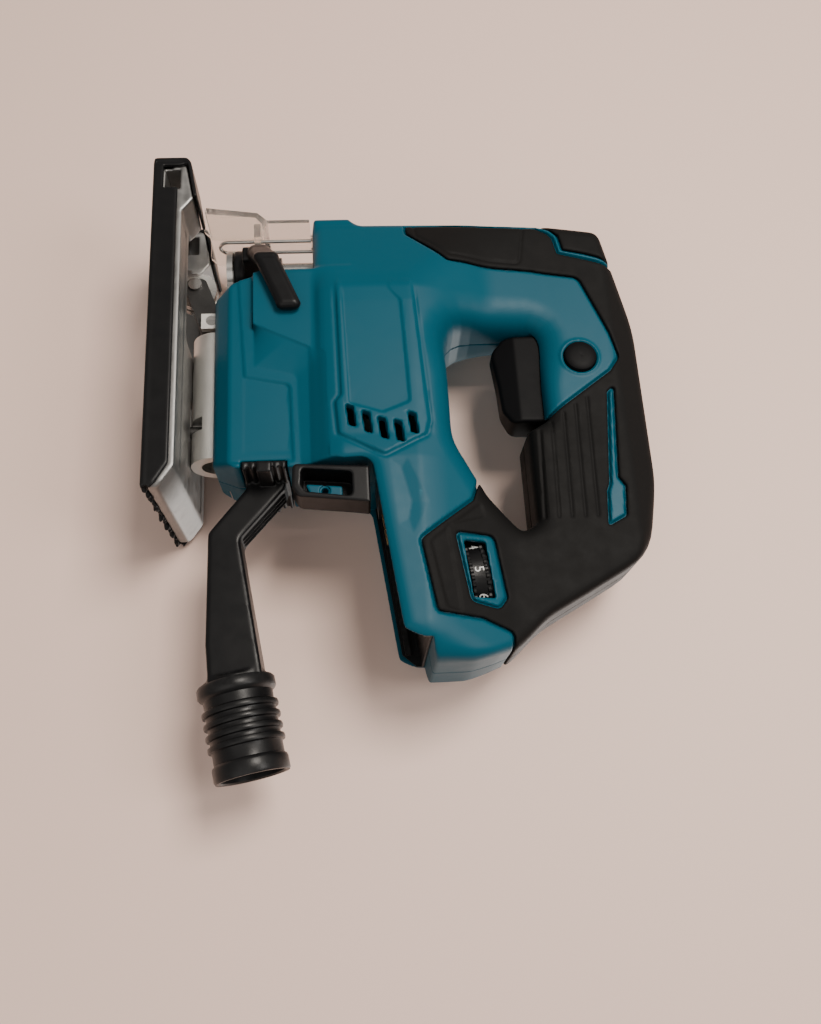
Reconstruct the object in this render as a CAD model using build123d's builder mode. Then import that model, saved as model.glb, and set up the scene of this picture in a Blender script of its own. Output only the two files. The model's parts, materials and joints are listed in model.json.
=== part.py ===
from build123d import *
import math
import os

# Cordless jigsaw with a D-shaped handle, built as its separate pieces.
# Millimetres. The sole is z = 0 and the plunger's axis crosses it at the origin.
# -Y is the cutting direction, +X the operator's left, +Z up.

# ---- driving dimensions ----
SHOE_HALF = 38.0            # half the sole's width
SHOE_FRONT = -35.5          # front tip of the sole
SHOE_REAR = 119.0           # rear end of the sole
SOLE_THICK = 2.2            # slip-on plate under the shoe
COVER_REAR = 121.0          # rear end of the slip-on plate
SHOE_TOP = 12.5             # top of the aluminium shoe
GAP_HALF = 13.0             # open gap between the two front prongs
SLOT_HALF = 18.0            # wider window where the roller works
TILT_Z = 24.0               # height of the bevel axis
SADDLE_R = 11.2             # half-round underside that the shoe tilts about
NUT_R = 6.5                 # round nut inside the saddle, the bevel pivot
BOLT_Y = 80.0               # clamp bolt, behind the plunger
STROKE = 26.0               # plunger travel, bottom to top
MOTOR_Z = 68.0              # motor shaft height
MODULE = 0.8                # tooth module of the reduction
PINION_TEETH = 10
GEAR_TEETH = 55
GEAR_Z = MOTOR_Z + MODULE * (PINION_TEETH + GEAR_TEETH) / 2     # crank gear axle height
BALANCE_R = 4.0             # offset of the balancer's eccentric
WALL = 3.2                  # moulded wall, rubber included
RUBBER = 1.6                # overmoulded rubber skin
BODY_HALF = 32.5            # half-width of the motor block
FOOT_HALF = 34.2            # half-width of the battery foot
GRIP_HALF = 17.0            # half-width of the handle
CASE_HALF = 28.0            # half-width of the lower gear case
TOP_Z = 211.5               # top of the handle
BAY_TILT = 7.5              # slope of the battery slide, degrees
GAP = 0.3                   # clearance between pieces that move past each other

CRANK_R = STROKE / 2        # crank pin level with its axle: the plunger rests at mid stroke

NODES = []                  # finished pieces, in order


def keep(part, label):
    """Name a finished piece and put it on the list."""
    part.label = label
    NODES.append(part)
    return part


def side_prism(corners, half_width, inset=0.0, centre_x=0.0):
    """Solid with its outline in the YZ plane. Corners are (y, z, radius)."""
    points = [(y, z) for y, z, r in corners]
    with BuildPart(mode=Mode.PRIVATE) as solid:
        with BuildSketch(Plane.YZ.offset(centre_x)):
            with BuildLine():
                FilletPolyline(*points, radius=[r for y, z, r in corners], close=True)
            make_face()
            if inset:
                offset(amount=-inset, kind=Kind.INTERSECTION)
        extrude(amount=half_width - inset, both=True)
    return solid.part


def section_prism(corners, y_from, y_to, inset=0.0):
    """Solid with a mirrored outline in the XZ plane. Corners are the +X side, bottom to top."""
    mirrored = [(-x, z, r) for x, z, r in reversed(corners)]
    outline = list(corners) + mirrored
    middle = (y_from + y_to) / 2
    with BuildPart(mode=Mode.PRIVATE) as solid:
        with BuildSketch(Plane.XZ.offset(-middle)):
            with BuildLine():
                points = [(x, z) for x, z, r in outline]
                FilletPolyline(*points, radius=[r for x, z, r in outline], close=True)
            make_face()
            if inset:
                offset(amount=-inset, kind=Kind.INTERSECTION)
        extrude(amount=(y_to - y_from) / 2 - inset, both=True)
    return solid.part


def plan_prism(corners, z_from, z_to, inset=0.0):
    """Solid with a mirrored outline in the XY plane. Corners are the +X side, front to rear."""
    mirrored = [(-x, y, r) for x, y, r in reversed(corners)]
    outline = list(corners) + mirrored
    middle = (z_from + z_to) / 2
    with BuildPart(mode=Mode.PRIVATE) as solid:
        with BuildSketch(Plane.XY.offset(middle)):
            with BuildLine():
                points = [(x, y) for x, y, r in outline]
                FilletPolyline(*points, radius=[r for x, y, r in outline], close=True)
            make_face()
            if inset:
                offset(amount=-inset, kind=Kind.INTERSECTION)
        extrude(amount=(z_to - z_from) / 2 - inset, both=True)
    return solid.part


def rod(radius, start, end):
    """Round bar between two points."""
    axis = Vector(*end) - Vector(*start)
    with BuildPart(mode=Mode.PRIVATE) as bar:
        with BuildSketch(Plane(origin=start, z_dir=axis)):
            Circle(radius)
        extrude(amount=axis.length)
    return bar.part


def tube(outer, inner, start, end):
    """Round tube between two points."""
    axis = Vector(*end) - Vector(*start)
    with BuildPart(mode=Mode.PRIVATE) as pipe:
        with BuildSketch(Plane(origin=start, z_dir=axis)):
            Circle(outer)
            Circle(inner, mode=Mode.SUBTRACT)
        extrude(amount=axis.length)
    return pipe.part


def block(x, y, z):
    """Plain block from three (low, high) pairs."""
    centre = ((x[0] + x[1]) / 2, (y[0] + y[1]) / 2, (z[0] + z[1]) / 2)
    with BuildPart(mode=Mode.PRIVATE) as body:
        with Locations(centre):
            Box(x[1] - x[0], y[1] - y[0], z[1] - z[0])
    return body.part


def both_sides(part):
    """A piece and its mirror image across the tool's middle."""
    with BuildPart(mode=Mode.PRIVATE) as pair:
        add(part)
        mirror(part, about=Plane.YZ)
    return pair.part


# ---- outer form of the moulded body ----
# Corners are (y, z, radius) seen from the left, (x, z, radius) from behind, (x, y, radius) from above.
UPPER_SIDE = [
    (-19, 67.5, 1.5), (-19, 84, 2.5), (-15.5, 89, 4), (-12.5, 172, 40), (-8, 199, 7),
    (42, TOP_Z, 60), (112, TOP_Z, 50), (147, 203, 30), (160, 179.5, 50), (172, 157.5, 40),
    (184, 144.5, 14), (190.5, 126, 14), (190.5, 111, 2), (178, 98.3, 2), (108, 89, 5), (109, 67.5, 2),
]
UPPER_SECTION = [
    (28, 65, 2), (FOOT_HALF, 78, 6), (FOOT_HALF, 109, 8), (19.5, 145, 30),
    (GRIP_HALF, 170, 60), (GRIP_HALF, 198, 10), (9, TOP_Z + 0.7, 8),
]
UPPER_PLAN = [
    (11, -19.8, 4), (18, -12.4, 5), (BODY_HALF, 28, 20), (BODY_HALF, 98, 6), (FOOT_HALF + 0.5, 108, 6),
    (FOOT_HALF + 0.5, 178, 12), (25, 191.3, 10),
]
CASE_SIDE = [
    (15.5, 84, 0.5), (15.5, 46, 4), (20, 32, 4), (24, 24, 2.5), (103, 24, 2.5), (107, 34, 4), (108, 84, 0.5),
]
CASE_SECTION = [(12.2, 20, 1.5), (27.5, 36, 4), (CASE_HALF, 90, 0.5)]
FINGER_GAP = [
    (40.5, 123.5, 13), (97, 123.5, 24), (121, 137, 18), (136, 150.5, 4), (132, 157, 4), (90, 157, 3),
    (85.5, 165.5, 2), (40.5, 165.5, 8),
]
# lower level of the gear case's flanks, a step in from the rest
LOW_FLANK = [(10, 41.5, 0.5), (53, 41.5, 4), (63, 64, 4), (115, 65.5, 0.5), (115, 15, 0.5), (10, 15, 0.5)]
LOW_HALF = 26.4
BAY_LINE = (107, 100)       # front top corner of the battery bay
BAY_LENGTH = 95.0


def finger_gap(inset=0.0):
    return side_prism(FINGER_GAP, 60, -inset)


def battery_bay(inset=0.0):
    """Bay under the foot, open below and behind, 62 mm wide."""
    rise = BAY_LENGTH * math.tan(math.radians(BAY_TILT))
    y0, z0 = BAY_LINE
    corners = [(y0, 60, 0.4), (y0, z0, 1), (y0 + BAY_LENGTH, z0 + rise, 1), (y0 + BAY_LENGTH, 60, 0.4)]
    return side_prism(corners, FOOT_HALF - 3.2, -inset)


def low_flanks(inset=0.0):
    """What is cut from both flanks of the gear case down to its lower level."""
    level = LOW_HALF - inset
    with BuildPart(mode=Mode.PRIVATE) as cut:
        add(side_prism(LOW_FLANK, 60, -inset))
        add(block((-level, level), (-20, 140), (0, 90)), mode=Mode.SUBTRACT)
    return cut.part


def body_form(inset=0.0):
    """Whole moulded form, shrunk all round by inset, with the hand opening and the bay left out."""
    with BuildPart(mode=Mode.PRIVATE) as form:
        add(side_prism(UPPER_SIDE, 50, inset))
        add(section_prism(UPPER_SECTION, -40, 210, inset), mode=Mode.INTERSECT)
        add(plan_prism(UPPER_PLAN, 50, 230, inset), mode=Mode.INTERSECT)
        lower = side_prism(CASE_SIDE, 50, inset)
        add(lower & section_prism(CASE_SECTION, 0, 120, inset))
        add(low_flanks(inset), mode=Mode.SUBTRACT)
        add(finger_gap(inset), mode=Mode.SUBTRACT)
        add(battery_bay(inset), mode=Mode.SUBTRACT)
    return form.part


RUBBER_EDGE = [
    (-30, 109, 0.5), (-6, 109.5, 1), (11.5, 127, 3), (13.5, 165, 9), (17, 186, 5), (46, 197, 8), (57, 200, 4),
    (64, 195, 4), (90, 159, 3), (92, 142, 3), (125, 129.5, 3), (143, 107, 3), (172, 112, 3),
    (174, 130, 4), (179, 142, 3), (200, 142, 0.5), (200, 240, 0.5), (-30, 240, 0.5),
]
DIAL_CENTRE = (9.0, 154.0, 129.8)
DIAL_R = 16.5
BUTTON_YZ = (57.5, 182.5)
BUTTON_R = 7.0
SCREW_YZ = [
    (-8.7, 100), (100, 113), (26, 150), (25, 196), (112, 200), (152, 177), (177, 134), (101, 30), (27, 42),
]
TRIGGER_SLOT = (41.0, 84.4)
ORBITAL_YZ = (66.0, 51.0)
STATOR_R = 22.8
BEARING_R = 7.5             # rear motor bearing


def tilted_plane(y, z, tilt=BAY_TILT):
    """Plane along the battery slide: x across, local y rearward along the slope."""
    slope = math.radians(tilt)
    return Plane(origin=(0, y, z), x_dir=(1, 0, 0), z_dir=(0, -math.sin(slope), math.cos(slope)))


def dial_plane():
    """Plane of the dial, leaning with the battery slide."""
    slope = math.radians(BAY_TILT)
    return Plane(origin=DIAL_CENTRE, x_dir=(1, 0, 0), z_dir=(0, -math.sin(slope), math.cos(slope)))


def build_bay_liner():
    """Black liner of the battery bay with the two ribs that the battery's grooves slide on."""
    profile = [
        (107.4, 91.4, 0.4), (107.4, 100.05, 0.4), (181, 109.74, 0.4), (181, 106.5, 1), (175.5, 100.4, 1),
    ]
    outer_half = FOOT_HALF - 3.2
    with BuildPart() as liner:
        add(side_prism(profile, outer_half))
        add(battery_bay(), mode=Mode.INTERSECT)
        with BuildSketch(tilted_plane(BAY_LINE[0], BAY_LINE[1] - 1.2)):
            Rectangle(2 * (outer_half - 1.6), 200)
        extrude(amount=-30, mode=Mode.SUBTRACT)
        with BuildSketch(tilted_plane(BAY_LINE[0] + 6, BAY_LINE[1] - 6.6)):
            with Locations((outer_half - 2.5, 33), (2.5 - outer_half, 33)):
                Rectangle(5.0, 62)
        extrude(amount=2.4)
    keep(liner.part, "bay_liner")


def screw_bosses():
    """Posts that join the two shells."""
    with BuildPart(mode=Mode.PRIVATE) as bosses:
        with BuildSketch(Plane.YZ):
            with Locations(*SCREW_YZ):
                Circle(3.8)
        extrude(amount=40, both=True)
    return bosses.part


def inner_ribs():
    """Ribs that seat the stator and the rear bearing, and the two shelves of the dial's spindle."""
    with BuildPart(mode=Mode.PRIVATE) as ribs:
        for y_low, radius, half_height in ((50, STATOR_R, 28), (74, STATOR_R, 28), (95.5, BEARING_R, 23)):
            add(block((-40, 40), (y_low, y_low + 2.4), (MOTOR_Z - half_height, MOTOR_Z + half_height)))
            add(rod(radius, (0, y_low - 1, MOTOR_Z), (0, y_low + 4, MOTOR_Z)), mode=Mode.SUBTRACT)
        for low in (-7.0, 4.9):
            with BuildSketch(dial_plane().offset(low)):
                with Locations((6, 0)):
                    Rectangle(26, 12)
                Circle(2.55, mode=Mode.SUBTRACT)
            extrude(amount=2.1)
    return ribs.part


def shell_cuts():
    """Everything that passes through the moulded walls."""
    with BuildPart(mode=Mode.PRIVATE) as cuts:
        # saddle of the gear housing, roller and lever bracket
        add(block((-12, 12), (18, 98), (20, 34)))
        add(block((-7.5, 7.5), (10, 22.5), (27, 50)))
        # plunger, wire guard and lens under the front block
        add(rod(8.2, (0, 0, 60), (0, 0, 71.5)))
        add(both_sides(rod(0.95, (4.2, -14.6, 60), (4.2, -14.6, 73))))
        add(rod(3.6, (10.5, -9, 60), (10.5, -9, 71)))
        # trigger, button and dial
        add(block((-9.3, 9.3), TRIGGER_SLOT, (150, 170)))
        add(rod(BUTTON_R + 0.25, (-40, *BUTTON_YZ), (40, *BUTTON_YZ)))
        add(block((9, 40), (142.5, 165.5), (124.3, 135.3)))
        with BuildSketch(dial_plane().offset(-4.6)):
            Circle(DIAL_R + 0.4)
        extrude(amount=9.2)
        # duct socket, orbital selector
        add(block((-8.7, 8.7), (96, 116), (36.5, 55.5)))
        add(block((-40, 40), (104.2, 116), (36.5, 55.5)))
        add(rod(3.05, (-60, *ORBITAL_YZ), (-20, *ORBITAL_YZ)))
    return cuts.part


def vent_slots():
    """Five slanted cooling slots on each flank, beside the fan."""
    places = [(93.5, 107), (97, 101.2), (95.5, 94.8), (92.5, 88.4), (89.5, 82)]
    with BuildPart(mode=Mode.PRIVATE) as slots:
        with BuildSketch(Plane.YZ):
            for place in places:
                with Locations(place):
                    SlotOverall(9.5, 2.6, rotation=3)
        extrude(amount=50, both=True)
    return slots.part


def screw_hole(y, z):
    """Recess for the head on the right, clearance through that shell, thread in the left."""
    with BuildPart(mode=Mode.PRIVATE) as hole:
        add(rod(1.9, (-45, y, z), (8, y, z)))
        add(rod(3.7, (-45, y, z), (-9, y, z)))
    return hole.part


def build_shells():
    outer = body_form()
    inner = body_form(WALL)
    with BuildPart() as mask:
        add(side_prism(RUBBER_EDGE, 60))
    with BuildPart() as rubber:
        add(outer)
        add(body_form(RUBBER), mode=Mode.SUBTRACT)
        add(mask.part, mode=Mode.INTERSECT)
    with BuildPart() as walls:
        add(outer)
        add(inner, mode=Mode.SUBTRACT)
        add(outer & screw_bosses())
        add(outer & inner_ribs())
        add(rubber.part, mode=Mode.SUBTRACT)
        add(shell_cuts(), mode=Mode.SUBTRACT)
        add(vent_slots(), mode=Mode.SUBTRACT)
        for y, z in SCREW_YZ:
            add(screw_hole(y, z), mode=Mode.SUBTRACT)
    with BuildPart() as skin:
        add(rubber.part)
        add(shell_cuts(), mode=Mode.SUBTRACT)
        for y, z in SCREW_YZ:
            add(screw_hole(y, z), mode=Mode.SUBTRACT)
    for side, low, high in (("left", 0, 60), ("right", -60, 0)):
        half = block((low, high), (-60, 260), (-10, 260))
        with BuildPart() as shell:
            add(walls.part)
            add(half, mode=Mode.INTERSECT)
        keep(shell.part, "housing_" + side)
        with BuildPart() as grip:
            add(skin.part)
            add(half, mode=Mode.INTERSECT)
        keep(grip.part, "grip_" + side)


def build_screws():
    """Pan-head screws, all driven from the right."""
    with BuildPart() as screws:
        for y, z in SCREW_YZ:
            add(rod(1.5, (-12.0, y, z), (7.5, y, z)))
            add(rod(3.3, (-11.0, y, z), (-9.1, y, z)))
    keep(screws.part, "housing_screws")


# ---- gear housing, gears, plunger ----
SPINE_Y = (35.4, 38.6)
SHELF_Z = (71.2, 74.0)
SHELF = [(12, -11, 1), (15.5, 0, 4), (22, 12, 6), (23.5, 20, 4), (23.5, SPINE_Y[1], 0.5)]
ROLLER_YZ = (10.5, 14.0)
ROLLER_R = 9.0
HOLDER_PIVOT = (31.0, 22.0)


def build_gear_housing():
    """Aluminium casting: spine, two shelves for the plunger bushes, saddle and roller lugs."""
    with BuildPart() as saddle:
        with BuildSketch(Plane.XZ.offset(-37.0)):
            with Locations((0, TILT_Z)):
                Circle(SADDLE_R)
        extrude(amount=-60.0)
    with BuildPart() as casting:
        add(block((-23.5, 23.5), SPINE_Y, (45.5, 122)))
        add(saddle.part)
        add(block((-SADDLE_R, SADDLE_R), (37, 97), (TILT_Z, 36)))
        add(block((-SADDLE_R, SADDLE_R), (27.5, SPINE_Y[1]), (28, 38)))
        add(block((-SADDLE_R, SADDLE_R), SPINE_Y, (28, 46.5)))
        add(both_sides(block((8.3, SADDLE_R), (27.5, 35.0), (17.5, 30))))
        add(plan_prism(SHELF, *SHELF_Z))
        add(block((-13, 13), (19, SPINE_Y[0]), (SHELF_Z[0] - 1, SHELF_Z[1] + 1)), mode=Mode.SUBTRACT)
        add(block((-11, 11), (-9, 38.6), (118, 122)))
        # bushes, axle, motor bearing, roller pivot
        add(rod(8.0, (0, 0, 70), (0, 0, 77)), mode=Mode.SUBTRACT)
        add(rod(8.0, (0, 0, 117), (0, 0, 124)), mode=Mode.SUBTRACT)
        add(rod(4.0, (0, 30, GEAR_Z), (0, 45, GEAR_Z)), mode=Mode.SUBTRACT)
        add(rod(9.5, (0, 30, MOTOR_Z), (0, 45, MOTOR_Z)), mode=Mode.SUBTRACT)
        add(rod(2.5, (-20, *HOLDER_PIVOT), (20, *HOLDER_PIVOT)), mode=Mode.SUBTRACT)
        # bore for the bevel nut and a fan-shaped slot for its bolt
        add(rod(NUT_R + 0.2, (0, 71, TILT_Z), (0, 100, TILT_Z)), mode=Mode.SUBTRACT)
        with BuildSketch(Plane.XZ.offset(-BOLT_Y - 3)):
            Polygon((0, 28.5), (14.5, 14), (14.5, 6), (-14.5, 6), (-14.5, 14), align=None)
        extrude(amount=6, mode=Mode.SUBTRACT)
    keep(casting.part, "gear_housing")


def build_bushes():
    """Two bronze bushes that guide the plunger."""
    with BuildPart() as bushes:
        add(tube(8.0, 4.55, (0, 0, 67.5), (0, 0, 74.4)))
        add(tube(8.0, 4.55, (0, 0, 116.5), (0, 0, 124.5)))
    keep(bushes.part, "plunger_bushes")


def toothed_wheel(teeth, y_low, y_high, centre_z, turn, bore):
    """Straight-cut wheel about an axle along Y; turn places the first tooth, degrees from +X."""
    tip = MODULE * (teeth / 2 + 0.85)
    root = MODULE * (teeth / 2 - 1.1)
    half_pitch = math.pi * MODULE / 2
    with BuildPart(mode=Mode.PRIVATE) as wheel:
        with BuildSketch(Plane(origin=(0, y_high, centre_z), x_dir=(1, 0, 0), z_dir=(0, -1, 0))):
            Circle(root)
            with PolarLocations(0, teeth, start_angle=turn):
                Polygon(
                    (root - 0.4, -half_pitch * 0.62), (tip, -half_pitch * 0.24),
                    (tip, half_pitch * 0.24), (root - 0.4, half_pitch * 0.62), align=None)
            if bore:
                Circle(bore, mode=Mode.SUBTRACT)
        extrude(amount=y_high - y_low)
    return wheel.part


GEAR_Y = (21.0, 28.0)
YOKE_Y = (9.0, 17.5)


def build_drive_gear():
    """Large wheel with its crank pin in front and the balancer's eccentric behind."""
    with BuildPart() as gear:
        add(toothed_wheel(GEAR_TEETH, *GEAR_Y, GEAR_Z, -90, 4.05))
        add(rod(3.5, (CRANK_R, YOKE_Y[1] + 0.5, GEAR_Z), (CRANK_R, GEAR_Y[0] + 1, GEAR_Z)))
        add(rod(9.0, (-BALANCE_R, GEAR_Y[1], GEAR_Z), (-BALANCE_R, GEAR_Y[1] + 1.4, GEAR_Z)))
        add(rod(4.05, (0, 20, GEAR_Z), (0, 31, GEAR_Z)), mode=Mode.SUBTRACT)
    keep(gear.part, "drive_gear")


def build_gear_axle():
    keep(rod(4.0, (0, 19.5, GEAR_Z), (0, SPINE_Y[1], GEAR_Z)), "gear_axle")


def stator_tooth(index):
    """One of the six poles that point at the rotor."""
    angle = math.radians(60 * index + 30)
    reach = Vector(math.cos(angle), 0, math.sin(angle))
    pole_from = 13.0
    pole_to = 19.6
    with BuildPart(mode=Mode.PRIVATE) as tooth:
        root = Vector(0, 63, MOTOR_Z) + reach * pole_from
        with BuildSketch(Plane(origin=root, x_dir=(0, 1, 0), z_dir=reach)):
            Rectangle(30, 8)
        extrude(amount=pole_to - pole_from)
    return tooth.part


def build_motor():
    """Brushless motor lying along the tool: ring stator, magnet rotor, shaft with pinion, fan."""
    with BuildPart() as stator:
        add(tube(STATOR_R, 19.0, (0, 46, MOTOR_Z), (0, 80, MOTOR_Z)))
        for index in range(6):
            add(stator_tooth(index))
    keep(stator.part, "motor_stator")
    keep(tube(12.0, 3.0, (0, 47, MOTOR_Z), (0, 79, MOTOR_Z)), "motor_rotor")
    keep(rod(3.0, (0, 31, MOTOR_Z), (0, 99.5, MOTOR_Z)), "motor_shaft")
    keep(build_pinion(), "pinion")
    keep(build_fan(), "cooling_fan")
    with BuildPart() as bearings:
        add(tube(9.5, 3.03, (0, 33.2, MOTOR_Z), (0, 39.2, MOTOR_Z)))
        add(tube(BEARING_R, 3.03, (0, 95, MOTOR_Z), (0, 100, MOTOR_Z)))
    keep(bearings.part, "motor_bearings")


def build_pinion():
    """Small wheel on the shaft's nose, in mesh below the large one."""
    half_tooth = 180 / PINION_TEETH
    with BuildPart(mode=Mode.PRIVATE) as pinion:
        add(toothed_wheel(PINION_TEETH, GEAR_Y[0], 31, MOTOR_Z, 90 + half_tooth, 0))
    return pinion.part


FAN_BLADES = 11


def fan_blade(index):
    """One slanted blade standing on the fan's disc."""
    with BuildPart(mode=Mode.PRIVATE) as blade:
        with BuildSketch(Plane(origin=(0, 91, MOTOR_Z), x_dir=(1, 0, 0), z_dir=(0, -1, 0))):
            with PolarLocations(13, 1, start_angle=360 / FAN_BLADES * index):
                Rectangle(14, 1.3, rotation=24)
        extrude(amount=7.2)
    return blade.part


def build_fan():
    """Radial fan behind the rotor."""
    with BuildPart(mode=Mode.PRIVATE) as fan:
        add(tube(20.5, 3.0, (0, 83, MOTOR_Z), (0, 84.6, MOTOR_Z)))
        add(tube(6.0, 3.0, (0, 83, MOTOR_Z), (0, 92, MOTOR_Z)))
        for index in range(FAN_BLADES):
            add(fan_blade(index))
    return fan.part


YOKE_HALF = 5.3             # half-height of the cross slot's frame


def build_plunger():
    """Plunger rod with the cross slot that the crank pin runs in."""
    slot_half = CRANK_R + 3.5 + GAP
    frame_z = (GEAR_Z - YOKE_HALF, GEAR_Z + YOKE_HALF)
    with BuildPart() as yoke:
        add(block((-slot_half - 1.7, slot_half + 1.7), YOKE_Y, frame_z))
        slot_z = (GEAR_Z - 3.8, GEAR_Z + 3.8)
        add(block((-slot_half, slot_half), (YOKE_Y[0] + 0.6, 25), slot_z), mode=Mode.SUBTRACT)
    with BuildPart() as plunger:
        add(rod(4.5, (0, 0, 38), (0, 0, 140)))
        add(block((-4.5, 4.5), (0, 9.2), frame_z))
        add(yoke.part)
        add(block((-0.9, 0.9), (-3.4, 3.4), (30, 60)), mode=Mode.SUBTRACT)
    keep(plunger.part, "plunger")


def build_clamp():
    """Tool-less blade clamp on the plunger's lower end."""
    with BuildPart() as sleeve:
        add(tube(7.0, 4.55, (0, 0, 37.9), (0, 0, 52.5)))
        add(tube(7.0, 2.6, (0, 0, 36.8), (0, 0, 37.9)))
        add(block((6.0, 7.05), (-1.2, 1.2), (40, 50)))
    keep(sleeve.part, "clamp_sleeve")


def build_counterweight():
    """Balance plate that runs against the plunger."""
    with BuildPart() as plate:
        add(block((-19, 19), (29.9, 34.9), (GEAR_Z - 11.5, GEAR_Z + 19)))
        add(block((-13.6, 13.6), (28, 36), (GEAR_Z - 9.6, GEAR_Z + 9.6)), mode=Mode.SUBTRACT)
        add(block((-4.6, 4.6), (28, 36), (GEAR_Z - 20, GEAR_Z)), mode=Mode.SUBTRACT)
    keep(plate.part, "counterweight")


# ---- blade guide and lever ----
def build_roller_holder():
    """Forked arm that carries the guide roller against the blade's back."""
    corners = [(6.5, 11, 3), (12, 9.3, 2), (33, 16.5, 2.5), (34.5, 25.5, 2.5), (27, 25.5, 2), (7.5, 18.5, 3)]
    with BuildPart() as holder:
        add(side_prism(corners, 8.0))
        add(rod(ROLLER_R + 0.8, (-4.3, *ROLLER_YZ), (4.3, *ROLLER_YZ)), mode=Mode.SUBTRACT)
        add(block((-4.3, 4.3), (-5, ROLLER_YZ[0]), (0, 30)), mode=Mode.SUBTRACT)
        add(rod(2.05, (-20, *ROLLER_YZ), (20, *ROLLER_YZ)), mode=Mode.SUBTRACT)
        add(rod(2.55, (-20, *HOLDER_PIVOT), (20, *HOLDER_PIVOT)), mode=Mode.SUBTRACT)
    keep(holder.part, "roller_holder")
    keep(rod(2.5, (-SADDLE_R, *HOLDER_PIVOT), (SADDLE_R, *HOLDER_PIVOT)), "holder_pin")
    with BuildPart() as roller_pin:
        add(rod(2.0, (-8.0, *ROLLER_YZ), (8.0, *ROLLER_YZ)))
        add(rod(3.0, (8.0, *ROLLER_YZ), (9.4, *ROLLER_YZ)))
    keep(roller_pin.part, "roller_pin")
    with BuildPart() as roller:
        with BuildSketch(Plane.XZ.offset(-ROLLER_YZ[0])):
            with BuildLine():
                Polyline(
                    (-3.8, ROLLER_YZ[1] + 2.05), (3.8, ROLLER_YZ[1] + 2.05), (3.8, ROLLER_YZ[1] + ROLLER_R),
                    (0.9, ROLLER_YZ[1] + ROLLER_R), (0.7, ROLLER_YZ[1] + ROLLER_R - 1.6),
                    (-0.7, ROLLER_YZ[1] + ROLLER_R - 1.6), (-0.9, ROLLER_YZ[1] + ROLLER_R),
                    (-3.8, ROLLER_YZ[1] + ROLLER_R), close=True)
            make_face()
        revolve(axis=Axis((0, ROLLER_YZ[0], ROLLER_YZ[1]), (1, 0, 0)))
    keep(roller.part, "guide_roller")


HUB_Z = (31.0, 45.0)
HUB_R = 10.4


# arm of the blade lever, corner by corner from the collar: x, y, z, half thickness
ARM_PATH = [(7.0, 0.5, 40.0, 3.4), (21.0, 3.6, 43.4, 3.0), (30.4, 12.6, 47.0, 2.0), (30.4, 36.0, 56.4, 2.0)]
ARM_HALF_HEIGHT = 4.3


def build_blade_lever():
    """Lever for changing blades: a collar round the clamp and an arm along the left flank."""
    with BuildPart() as lever:
        add(rod(HUB_R, (0, 0, HUB_Z[0]), (0, 0, HUB_Z[1])))
        for start, end in zip(ARM_PATH[:-1], ARM_PATH[1:]):
            add(arm_stretch(start, end))
        add(rod(7.0 + GAP, (0, 0, 20), (0, 0, 60)), mode=Mode.SUBTRACT)
    keep(lever.part, "blade_lever")


def arm_stretch(start, end):
    """One straight length of the lever's arm, rounded at both ends."""
    along = Vector(end[0] - start[0], end[1] - start[1], 0).normalized()
    across = Vector(-along.Y, along.X, 0)
    ends = []
    with BuildPart(mode=Mode.PRIVATE) as piece:
        for x, y, z, half in (start, end):
            with BuildSketch(Plane.XY.offset(z - ARM_HALF_HEIGHT)):
                with Locations((x, y)):
                    Circle(half)
            extrude(amount=2 * ARM_HALF_HEIGHT)
            with BuildSketch(Plane(origin=(x, y, z), x_dir=across, z_dir=along)) as cut:
                Rectangle(2 * half, 2 * ARM_HALF_HEIGHT)
            ends.append(cut.sketch)
        loft(ends)
    return piece.part


def build_lever_bracket():
    """Steel bracket that holds the lever's collar above and below."""
    with BuildPart() as bracket:
        for low, high in ((28.0, 30.7), (45.3, 48.0)):
            add(tube(HUB_R, 7.0 + GAP, (0, 0, low), (0, 0, high)))
            add(block((-6.5, 6.5), (8.2, 21), (low, high)))
        add(block((-6.5, 6.5), (18.5, 21), (28, 48)))
        add(block((-6.5, 6.5), (20, 27.5), (28.0, 30.7)))
        add(rod(7.0 + GAP, (0, 0, 20), (0, 0, 60)), mode=Mode.SUBTRACT)
    keep(bracket.part, "lever_bracket")


def build_wire_guard():
    """Bent wire in front of the blade."""
    half = 4.2
    bottom = 23.8
    front = -14.6
    with BuildPart() as wire:
        with BuildLine() as path:
            down = Line((half, front, 72), (half, front, bottom + half))
            bend = ThreePointArc(down @ 1, (0, front, bottom), (-half, front, bottom + half))
            Line(bend @ 1, (-half, front, 72))
        with BuildSketch(Plane(origin=(half, front, 72), z_dir=(0, 0, -1))):
            Circle(0.8)
        sweep(path=path.wire())
    keep(wire.part, "wire_guard")


def build_dust_guard():
    """Clear guard that slides up on the wire legs."""
    outline = [
        (-29.0, 18, 0.5), (-25.6, 42, 1), (-21.4, 46.5, 1), (-21.4, 66, 0.5), (-19.7, 66, 0.5),
        (-19.7, 45.8, 1), (-12, 44, 1), (-12, 22, 3), (-16, 18, 2),
    ]
    with BuildPart() as hollow:
        add(side_prism([
            (-27.2, 10, 0.5), (-24.0, 41, 1), (-20.5, 44.0, 0.5), (-5, 44.0, 0.5), (-5, 10, 0.5)], 9.4))
        add(block((-9.4, 9.4), (-19.7, 0), (43.9, 60)))
    with BuildPart() as guard:
        add(side_prism(outline, 11.0))
        add(hollow.part, mode=Mode.SUBTRACT)
        add(block((-9.6, 9.6), (-20.5, -11.6), (40.4, 43.4)))
        add(block((-2.4, 2.4), (-17.2, -5), (30, 60)), mode=Mode.SUBTRACT)
        add(both_sides(rod(1.1, (4.2, -14.6, 30), (4.2, -14.6, 60))), mode=Mode.SUBTRACT)
    keep(guard.part, "dust_guard")


def build_lens():
    """Clear lens of the work light, beside the plunger."""
    with BuildPart() as lens:
        add(rod(3.5, (10.5, -9, 66.6), (10.5, -9, 70.6)))
    keep(lens.part, "light_lens")


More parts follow.
